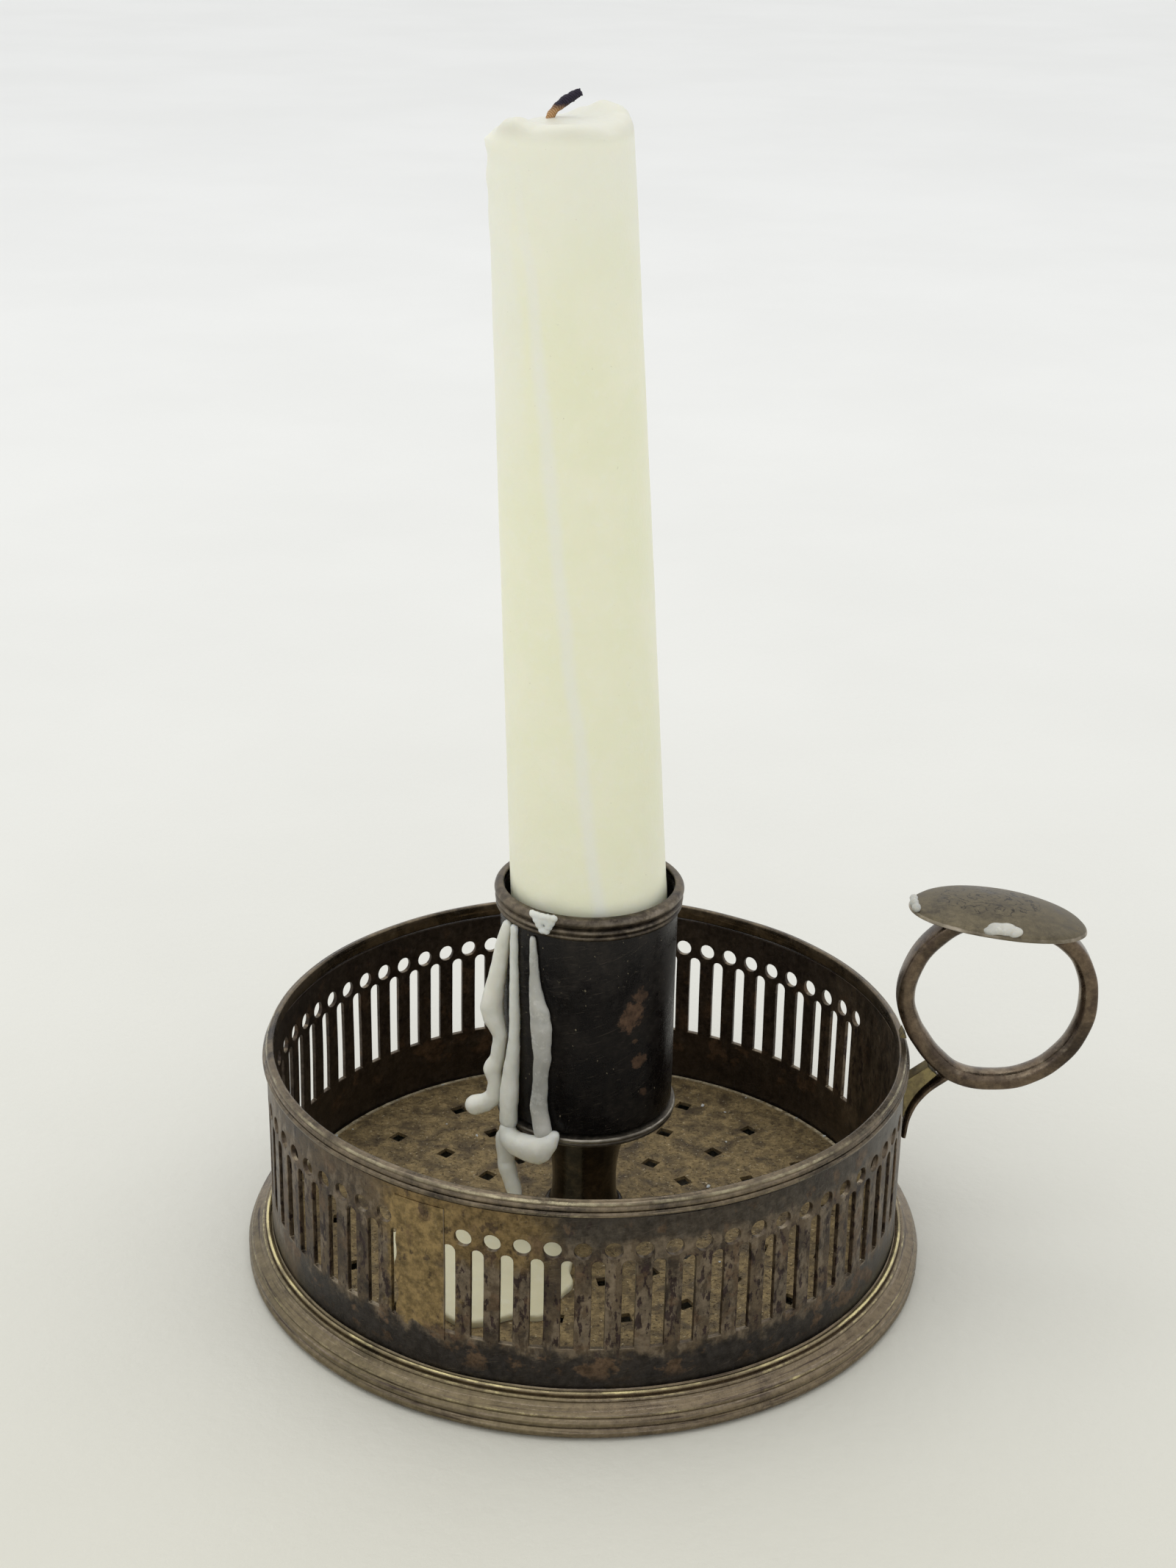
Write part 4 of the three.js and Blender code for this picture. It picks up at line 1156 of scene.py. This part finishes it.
# ---- Wax ----------------------------------------------------------------------------------------


def poured(node, spots, material, voxel, clear_radius=None, seed=0, swell=0.12):
    """Wax as it sets: overlapping drops of (centre, half sizes) fused into one smooth skin."""
    bm = bmesh.new()
    for centre, sizes, turn in spots:
        place = Matrix.Translation(centre) @ Matrix.Rotation(turn, 4, "Z") @ Matrix.Diagonal((*sizes, 1))
        bmesh.ops.create_icosphere(bm, subdivisions=2, radius=1, matrix=place)
    mesh = bpy.data.meshes.new("lump")
    bm.to_mesh(mesh)
    bm.free()
    lump = bpy.data.objects.new("lump", mesh)
    bpy.context.scene.collection.objects.link(lump)
    skin = lump.modifiers.new("fuse", "REMESH")
    skin.mode = "VOXEL"
    skin.voxel_size = voxel
    smooth = lump.modifiers.new("settle", "SMOOTH")
    smooth.factor = 0.5
    smooth.iterations = 6
    ready = lump.evaluated_get(bpy.context.evaluated_depsgraph_get())
    fused = bpy.data.meshes.new_from_object(ready)
    bm = bmesh.new()
    bm.from_mesh(fused)
    bpy.data.objects.remove(lump)
    bpy.data.meshes.remove(fused)
    bpy.data.meshes.remove(mesh)
    crest_layer(bm)
    for vert in bm.verts:
        vert.co += vert.normal * swell
        vert.co += noise.noise_vector(vert.co / 1.6 + Vector((seed, 0, 0))) * 0.09
        radius = math.hypot(vert.co.x, vert.co.y)
        if clear_radius and radius < clear_radius(vert.co.z):
            grown = clear_radius(vert.co.z) / radius
            vert.co.x *= grown
            vert.co.y *= grown
    return as_piece(bm, node + "_skin", material, node, sharp=80)


def along(keys, step=0.35):
    """Points between keys of equal length, smoothly spaced."""
    out = []
    for first, second in zip(keys, keys[1:]):
        span = max(abs(second[1] - first[1]), abs(math.radians(second[0] - first[0])) * TUBE_RADIUS)
        count = max(2, int(span / step))
        for index in range(count):
            share = index / count
            share = share * share * (3 - 2 * share)
            out.append(tuple(one + (two - one) * share for one, two in zip(first, second)))
    out.append(keys[-1])
    return out


def run_spots(keys):
    """Drops down the socket through keys of (azimuth, height, out, half width, half thickness)."""
    spots = []
    for azimuth, height, out, wide, thick in along(keys):
        centre = polar(TUBE_RADIUS + out, azimuth, height)
        spots.append((centre, (thick, wide, wide * 1.05), math.radians(azimuth)))
    return spots


def socket_face(height):
    if height < BASE_HIGH.z:
        return BEAD_RADIUS + 0.03
    if height > COLLAR_LOW.z:
        return COLLAR_RADIUS + 0.03
    return TUBE_RADIUS + 0.03


def scale_spots():
    """Rows of drops on the collar, each shorter than the one above."""
    spots = []
    for height, first, last in SCALE:
        count = max(2, round((last - first) / 2.5))
        for index in range(count):
            azimuth = first + (last - first) * index / (count - 1)
            centre = polar(COLLAR_RADIUS + 0.15, azimuth, height)
            spots.append((centre, (0.36, 0.55, 0.5), math.radians(azimuth)))
    return spots


def thumb_spots(drops):
    """Drops on the thumb plate, set on its dome."""
    spots = []
    for along_x, across, half_along, half_across, rise in drops:
        reach = 2 * along_x / THUMB_LENGTH
        side = 2 * across / THUMB_WIDTH
        height = 0.5 + THUMB_CROWN * (1 - reach ** 2 - side ** 2) - THUMB_DROOP * reach ** 2
        at = Matrix.Rotation(THUMB_TILT, 3, "Y") @ Vector((along_x, across, height)) + THUMB_CENTRE
        spots.append((at, (half_along, half_across, rise), 0))
    return spots


def wax(material, thin_material, puddle_material):
    """All the spilt wax: runs, pool and icicle on the socket, scale, drops and puddle."""
    runs = [
        ("wax_run_left", LEFT_RUN, material, 0.22),
        ("wax_run_middle", MIDDLE_RUN, material, 0.22),
        ("wax_run_right", RIGHT_RUN, thin_material, 0.22),
        ("wax_pool", POOL, material, 0.24),
    ]
    for seed, (node, keys, finish, voxel) in enumerate(runs, 1):
        poured(node, run_spots(keys), finish, voxel, socket_face, seed)
    poured("wax_icicle", run_spots(ICICLE), material, 0.18, None, 5, 0.55)
    poured("wax_scale", scale_spots(), material, 0.16, socket_face, 6)
    poured("wax_drop_left", thumb_spots(DROP_LEFT), thin_material, 0.16, None, 7)
    poured("wax_drop_front", thumb_spots(DROP_FRONT), thin_material, 0.16, None, 7)
    puddle(puddle_material)


LEFT_RUN = [
    (-150, 54.4, 0.6, 0.7, 0.6),
    (-152, 52.0, 0.9, 1.0, 0.9),
    (-154, 48.0, 1.3, 1.1, 1.1),
    (-157, 44.2, 1.7, 1.3, 1.4),
    (-158, 41.0, 2.1, 1.5, 1.7),
    (-157, 39.4, 1.9, 1.4, 1.5),
    (-153, 37.0, 1.2, 0.95, 1.0),
    (-155, 33.0, 1.5, 1.0, 1.1),
    (-157, 31.2, 2.0, 1.25, 1.35),
    (-155, 29.2, 1.8, 0.95, 1.0),
    (-155, 26.8, 2.0, 1.2, 1.2),
    (-157, 25.8, 3.1, 1.25, 1.25),
    (-159, 25.4, 4.5, 1.35, 1.4),
]
MIDDLE_RUN = [
    (-143.5, 54.4, 0.3, 0.6, 0.5),
    (-143.0, 50.7, 0.4, 0.55, 0.6),
    (-142.0, 45.4, 0.5, 0.65, 0.7),
    (-141.5, 41.3, 0.5, 0.8, 0.75),
    (-141.3, 37.0, 0.6, 0.85, 0.8),
    (-142.5, 33.0, 0.8, 1.2, 1.0),
    (-143.0, 29.0, 1.1, 1.5, 1.2),
    (-142.5, 26.5, 1.3, 1.45, 1.2),
    (-141.5, 24.5, 1.5, 1.3, 1.2),
]
RIGHT_RUN = [
    (-127.0, 54.0, 0.25, 0.45, 0.4),
    (-126.0, 51.5, 0.3, 0.6, 0.5),
    (-124.8, 47.8, 0.4, 0.8, 0.6),
    (-122.5, 45.0, 0.6, 1.15, 0.8),
    (-120.0, 43.2, 0.7, 1.5, 0.9),
    (-118.6, 41.0, 0.8, 1.6, 1.0),
    (-118.4, 39.0, 0.8, 1.5, 1.0),
    (-117.6, 36.6, 0.8, 1.3, 1.0),
    (-118.6, 34.2, 0.7, 1.1, 0.9),
    (-119.5, 31.0, 0.7, 1.15, 0.9),
    (-119.5, 28.4, 0.9, 1.3, 1.0),
    (-117.4, 26.2, 1.0, 1.35, 1.1),
    (-115.6, 24.9, 1.3, 1.3, 1.1),
]
POOL = [
    (-141.0, 23.2, 1.8, 1.1, 1.2),
    (-139.0, 22.1, 1.9, 1.5, 1.4),
    (-133.0, 21.8, 2.0, 1.7, 1.5),
    (-127.0, 22.0, 2.1, 1.8, 1.6),
    (-122.0, 22.0, 2.1, 1.9, 1.6),
    (-117.0, 22.2, 2.0, 2.0, 1.6),
    (-112.5, 23.4, 1.6, 1.5, 1.4),
    (-108.8, 24.4, 1.2, 0.8, 0.9),
]
ICICLE = [
    (-144.0, 21.2, 1.6, 1.0, 0.95),
    (-143.5, 19.2, 1.6, 0.9, 0.85),
    (-142.6, 17.6, 1.7, 0.78, 0.75),
    (-140.5, 16.8, 1.8, 0.85, 0.8),
    (-138.5, 15.8, 1.8, 0.72, 0.7),
    (-136.0, 14.6, 1.8, 0.7, 0.65),
    (-134.3, 13.6, 1.8, 0.62, 0.6),
    (-133.6, 13.0, 1.8, 0.5, 0.5),
]
# The scale's rows of drops, each at a height between two directions.
SCALE = [(58.4, -124.5, -111), (57.7, -122, -112.5), (57.0, -119.8, -114), (56.3, -117.8, -115.4)]
# Drops on the thumb plate: place along and across it, half sizes and rise.
DROP_LEFT = [(-12.0, -1.5, 0.6, 1.1, 0.5), (-12.15, 0, 0.6, 1.3, 0.6), (-12.0, 1.4, 0.55, 1.0, 0.45)]
DROP_FRONT = [
    (-2.3, -7.4, 1.1, 0.8, 0.45),
    (-1.4, -6.9, 1.4, 1.3, 0.6),
    (-0.2, -6.8, 1.5, 1.4, 0.65),
    (1.0, -7.1, 1.2, 1.1, 0.55),
]
# The puddle's outline on the floor, before its corners are rounded.
PUDDLE_THICKNESS = 1.05
PUDDLE = [
    (-30.0, -9.0), (-27.0, -6.4), (-20.5, -6.0), (-14.3, -6.3), (-9.0, -6.6), (-4.6, -6.4),
    (-1.6, -8.2), (-1.3, -12.0), (-1.9, -16.5), (-1.1, -20.2), (-3.2, -22.2), (-3.6, -25.0),
    (-5.7, -28.4), (-9.0, -27.2), (-11.4, -28.4), (-15.4, -30.2), (-19.1, -28.3), (-22.6, -22.0),
    (-25.8, -15.5), (-29.0, -13.2),
]


def puddle(material):
    """Wax set on the floor: a thin sheet with a rounded, uneven edge."""
    bm = bmesh.new()
    floor = FLOOR_HIGH.z + 0.05
    outline = PUDDLE
    for _ in range(2):
        cut = []
        for first, second in zip(outline, outline[1:] + outline[:1]):
            cut.append(tuple(0.75 * one + 0.25 * two for one, two in zip(first, second)))
            cut.append(tuple(0.25 * one + 0.75 * two for one, two in zip(first, second)))
        outline = cut
    face = bm.faces.new([bm.verts.new((x, y, floor)) for x, y in outline])
    bmesh.ops.recalc_face_normals(bm, faces=[face])
    if face.normal.z < 0:
        bmesh.ops.reverse_faces(bm, faces=[face])
    grown = bmesh.ops.extrude_face_region(bm, geom=[face])
    top_verts = [item for item in grown["geom"] if isinstance(item, bmesh.types.BMVert)]
    bmesh.ops.translate(bm, vec=(0, 0, PUDDLE_THICKNESS), verts=top_verts)
    bmesh.ops.recalc_face_normals(bm, faces=bm.faces)
    rim = [edge for edge in bm.edges if all(vert in top_verts for vert in edge.verts)]
    settings = dict(offset_type="OFFSET", profile=0.5, affect="EDGES", material=-1, clamp_overlap=True)
    bmesh.ops.bevel(bm, geom=rim, offset=0.5, segments=4, **settings)
    bmesh.ops.triangulate(bm, faces=[face for face in bm.faces if len(face.verts) > 4])
    long_edges = [edge for edge in bm.edges if edge.calc_length() > 2.5]
    bmesh.ops.subdivide_edges(bm, edges=long_edges, cuts=2, use_grid_fill=True)
    crest_layer(bm)
    for vert in bm.verts:
        if vert.co.z > floor + 0.2:
            vert.co.z += 0.22 * noise.noise(Vector((vert.co.x / 4, vert.co.y / 4, 1.3)))
        vert.co.x += 0.3 * noise.noise(Vector((vert.co.x / 2, vert.co.y / 2, 4)))
    return as_piece(bm, "wax_puddle_skin", material, "wax_puddle", sharp=80)


def crumbs(material):
    """Chips of wax and old polish on the floor, most of them in the angle under the wall."""
    chance = random.Random(5)
    count = 70
    corner = 44.9
    bm = bmesh.new()
    crest_layer(bm)
    floor = FLOOR_HIGH.z + 0.06
    for index in range(count):
        azimuth = chance.uniform(0, 360)
        reach = corner - abs(chance.gauss(0, 0.7)) if index % 3 else chance.uniform(11, 43)
        size = chance.uniform(0.16, 0.42) * (1.9 if index == 9 else 1)
        shape = Matrix.Diagonal((size, size * chance.uniform(0.5, 1.0), size * 0.35, 1))
        turn = Matrix.Rotation(chance.uniform(0, 6.28), 4, "Z")
        place = Matrix.Translation(polar(reach, azimuth, floor)) @ turn @ shape
        made = bmesh.ops.create_icosphere(bm, subdivisions=1, radius=1, matrix=place)["verts"]
        for vert in made:
            vert.co += noise.noise_vector(vert.co * 3) * 0.12 * size / 0.4
    return as_piece(bm, "floor_crumbs", material, None, sharp=40)


# ---- Finishes -----------------------------------------------------------------------------------

GOLD_WEAR = colour(0.2, 0.137, 0.06)
GILT = colour(0.255, 0.18, 0.08)
SLATE = colour(0.05, 0.043, 0.036)
COPPER = colour(0.17, 0.1, 0.06)
# Worn colour of the foot's reeds: brass showing through, brightened to paint the highlight lines along them.
BRASS_AND_SHEEN = colour(0.72, 0.62, 0.32)
SOOT = colour(0.03, 0.027, 0.026)
UMBER = colour(0.14, 0.09, 0.055)
PLUM = colour(0.034, 0.022, 0.022)
BARE = colour(0.25, 0.2, 0.145)
NEAR_BLACK = colour(0.055, 0.043, 0.035)
LILAC = colour(0.2, 0.155, 0.14)
OLIVE = colour(0.15, 0.13, 0.06)
CRUMB = colour(0.62, 0.53, 0.35)


def arc(*values, **more):
    """Where an arc of patina lies: direction, half width, bottom, top and softness."""
    return ARC, dict(zip(("Direction", "Half_width", "Bottom", "Top", "Softness"), values), **more)


def blotches(*values):
    """Where blotches lie: size, length, bottom, top and level."""
    return BLOTCHES, dict(zip(("Size", "Length", "Bottom", "Top", "Level"), values))


def streaks(*values):
    """How streaks run round: size, length and level."""
    return STREAKS, dict(zip(("Size", "Length", "Level"), values))


def spot(azimuth, height, radius):
    """A spot on the socket's tube."""
    return SPOT, dict(Centre=tuple(polar(TUBE_RADIUS, azimuth, height)), Radius=radius)


def finishes():
    """Every piece's material, by its place on the candlestick."""
    made = {}
    wall = dict(
        tones=[(0.15, 0.113, 0.074), (0.098, 0.072, 0.048), (0.034, 0.027, 0.022)],
        Cloud_size=6.0, Darkness=0.46, Flecks=0.6, Worn_colour=colour(0.27, 0.22, 0.15),
        patches=[
            (blotches(2.8, 2.4, 9, 31, 0.48), BARE, 0.42, 0.32),
            (blotches(0.85, 2.4, 12, 26, 0.53), PLUM, 0.9, 0.45),
            (arc(112, 72, -5, 40, 14), NEAR_BLACK, 0.8, 0.42),
            # A dark blue-grey band below the rim on the right: tarnish, darkened further as a painted dark
            # reflection on the glossy band.
            (arc(-52, 44, 29.2, 40, 7), SLATE, 0.85, 0.36),
            (arc(-111, 10, 25, 40, 9), GOLD_WEAR, 0.9, 0.5),
            (arc(-117.8, 4.4, 12.5, 30, 2.5), GILT, 0.95, 0.46),
            (arc(-75, 70, -5, 9.9, 8, Raggedness=1.5), SOOT, 0.9, 0.36),
            (blotches(3.6, 1.2, 12, 31, 0.56), UMBER, 0.55, 0.5),
            (blotches(5, 0.8, 7.5, 12.5, 0.53), UMBER, 0.75, 0.5),
            (blotches(1.5, 1.6, 10, 34, 0.6), PLUM, 0.6, 0.45),
        ],
    )
    made["wall"] = plate("gallery plate", **wall)
    made["seam"] = plate("seam plate", **wall)
    made["rim"] = plate(
        "rim plate",
        offset=(40, 13, 7),
        tones=[(0.21, 0.165, 0.108), (0.132, 0.104, 0.069), (0.04, 0.033, 0.026)],
        Darkness=0.45, Flecks=0.4, Worn_colour=colour(0.42, 0.37, 0.24), Dullness=-0.12,
        patches=[
            (streaks(0.45, 16, 0.54), BARE, 0.8, 0.26),
            (streaks(0.7, 9, 0.6), SOOT, 0.8, 0.4),
        ],
    )
    made["foot"] = plate(
        "foot plate",
        offset=(5, 73, 17),
        tones=[(0.222, 0.173, 0.108), (0.152, 0.117, 0.074), (0.045, 0.034, 0.028)],
        Cloud_size=11.0, Darkness=0.39, Flecks=0.25, Worn_colour=BRASS_AND_SHEEN, Dullness=-0.2, bump=0.035,
        patches=[
            (arc(-135, 34, -5, 9, 20), OLIVE, 0.3, 0.4),
            (streaks(0.4, 22, 0.51), BARE, 0.85, 0.24),
            (streaks(0.6, 12, 0.55), PLUM, 0.8, 0.36),
            (streaks(1.1, 26, 0.6), LILAC, 0.6, 0.3),
        ],
    )
    made["floor"] = plate(
        "floor plate",
        offset=(15, 33, 57),
        tones=[(0.36, 0.265, 0.12), (0.18, 0.126, 0.054), (0.075, 0.052, 0.026)],
        Cloud_size=3.6, Darkness=0.45, Flecks=0.9, Worn_colour=BRASS_AND_SHEEN, Metal=0.3, Dullness=0.2,
        bump=0.14, scratched=0.04,
        patches=[
            (blotches(0.5, 1, -5, 9, 0.625), CRUMB, 0.7, 0.6),
            ((RING, dict(Radius=45.0, Half_width=0.9, Level=0.36)), CRUMB, 0.95, 0.6),
        ],
    )
    made["socket"] = plate(
        "socket plate",
        offset=(25, 3, 27),
        tones=[(0.028, 0.023, 0.019), (0.014, 0.012, 0.011), (0.008, 0.007, 0.007)],
        Cloud_size=10.0, Darkness=0.5, Flecks=0.4, Worn_colour=COPPER, Metal=0.6, Dullness=-0.12,
        bump=0.025,
        patches=[
            (blotches(0.55, 1.4, 20, 56, 0.675), CRUMB, 0.45, 0.5),
            (spot(-58.9, 42.6, 2.5), COPPER, 0.8, 0.4),
            (spot(-54.5, 45.4, 1.5), COPPER, 0.55, 0.4),
            (spot(-53.4, 35.0, 1.3), COPPER, 0.7, 0.4),
            (spot(-56.8, 38.5, 0.6), COPPER, 0.7, 0.4),
            (spot(-49.4, 30.0, 0.9), COPPER, 0.6, 0.4),
        ],
    )
    made["collar"] = plate(
        "collar plate",
        offset=(65, 3, 7),
        tones=[(0.22, 0.18, 0.125), (0.12, 0.097, 0.068), (0.03, 0.024, 0.02)],
        Darkness=0.48, Flecks=0.35, Worn_colour=colour(0.26, 0.22, 0.17), bump=0.03,
    )
    made["bead"] = plate(
        "bead plate",
        offset=(5, 93, 7),
        tones=[(0.15, 0.13, 0.1), (0.08, 0.07, 0.055), (0.03, 0.026, 0.022)],
        Darkness=0.45, Flecks=0.35, Worn_colour=colour(0.36, 0.33, 0.27), bump=0.03,
    )
    made["stem"] = plate(
        "stem plate",
        offset=(35, 23, 87),
        tones=[(0.1, 0.078, 0.054), (0.04, 0.032, 0.024), (0.022, 0.019, 0.016)],
        Darkness=0.46, Flecks=0.3, Worn_colour=colour(0.42, 0.36, 0.25), Dullness=-0.28, bump=0.03,
    )
    made["handle"] = plate(
        "handle plate",
        offset=(85, 63, 47),
        tones=[(0.19, 0.14, 0.093), (0.118, 0.086, 0.059), (0.045, 0.034, 0.026)],
        Darkness=0.44, Flecks=0.3, Worn_colour=colour(0.33, 0.27, 0.19), Dullness=-0.18, bump=0.03,
        patches=[(blotches(3.2, 1.3, 10, 60, 0.54), PLUM, 0.35, 0.4)],
    )
    engraved = THUMB_CENTRE + Vector((-1.5, 1.0, 0))
    made["thumb"] = plate(
        "thumb plate",
        offset=(45, 43, 97),
        tones=[(0.17, 0.143, 0.092), (0.122, 0.102, 0.066), (0.055, 0.046, 0.034)],
        Cloud_size=5.0, Darkness=0.4, Flecks=0.4, Worn_colour=colour(0.36, 0.31, 0.24), bump=0.03,
        patches=[((SCROLLS, dict(Centre=tuple(engraved), Reach=6.0)), SOOT, 0.85, 0.5)],
    )
    made["solder"] = plate(
        "solder and brass",
        offset=(15, 13, 107),
        tones=[(0.34, 0.28, 0.13), (0.2, 0.16, 0.085), (0.05, 0.04, 0.026)],
        Cloud_size=3.0, Darkness=0.4, Flecks=0.4, Worn_colour=BRASS_AND_SHEEN,
    )
    waxes = [
        ("candle", "candle wax", (0.89, 0.88, 0.68), (0.86, 0.86, 0.63), 0.3, 0.36, 0.5),
        ("drips", "dripped wax", (0.76, 0.75, 0.66), (0.6, 0.6, 0.52), 0.5, 0.3, 0),
        ("thin wax", "thin wax", (0.52, 0.51, 0.455), (0.34, 0.34, 0.305), 0.35, 0.24, 0),
        ("puddle", "puddle wax", (0.78, 0.72, 0.48), (0.7, 0.64, 0.42), 0.3, 0.4, 0),
    ]
    for place, name, base, deep, *values in waxes:
        made[place] = wax_material(name, colour(*base), colour(*deep), *values)
    made["wick"] = wick_material()
    return made


def wick_material():
    """Cotton, tan where it leaves the wax and charred above."""
    made, tree, shader, place = new_material("wick cotton")
    split = axes(tree, place)
    height = plus(tree, split["Z"], times(tree, speckle(tree, place, 1.5, 4, 0.6), 0.8))
    charred = ramp(tree, height, CANDLE_HIGH.z - 0.4, CANDLE_HIGH.z + 0.9)
    twist = {"Vector": place, "Scale": 1.6, "Distortion": 3.0, "Detail": 2.0}
    fibres = add(tree, "ShaderNodeTexWave", twist, bands_direction="DIAGONAL")["Fac"]
    tan = mix_colour(tree, fibres, colour(0.42, 0.2, 0.07), colour(0.68, 0.42, 0.2))
    black = mix_colour(tree, fibres, colour(0.008, 0.006, 0.012), colour(0.03, 0.02, 0.045))
    tree.links.new(mix_colour(tree, charred, tan, black), shader.inputs["Base Color"])
    rough = mix_value(tree, charred, 0.6, 0.8)
    tree.links.new(rough, shader.inputs["Roughness"])
    bumped(tree, shader, plus(tree, fibres, speckle(tree, place, 4, 3, 0.7)), 0.1)
    return made


# ---- The candlestick ----------------------------------------------------------------------------

camera()
studio()
table()
finish = finishes()
foot_rim(finish["foot"])
floor_sheet(finish["floor"])
gallery_wall(finish["wall"])
gallery_rim(finish["rim"])
seam_strip(finish["seam"])
socket_tube(finish["socket"])
socket_rim(finish["collar"])
socket_base(finish["bead"])
stem(finish["stem"])
rivet(finish["rim"])
washer(finish["rim"])
handle_strap(finish["handle"])
lug("upper_lug", "upper_web", finish["solder"])
lug("lower_lug", "lower_gusset", finish["solder"])
thumb_piece(finish["thumb"])
candle(finish["candle"])
wick(finish["wick"])
wax(finish["drips"], finish["thin wax"], finish["puddle"])
crumbs(finish["drips"])
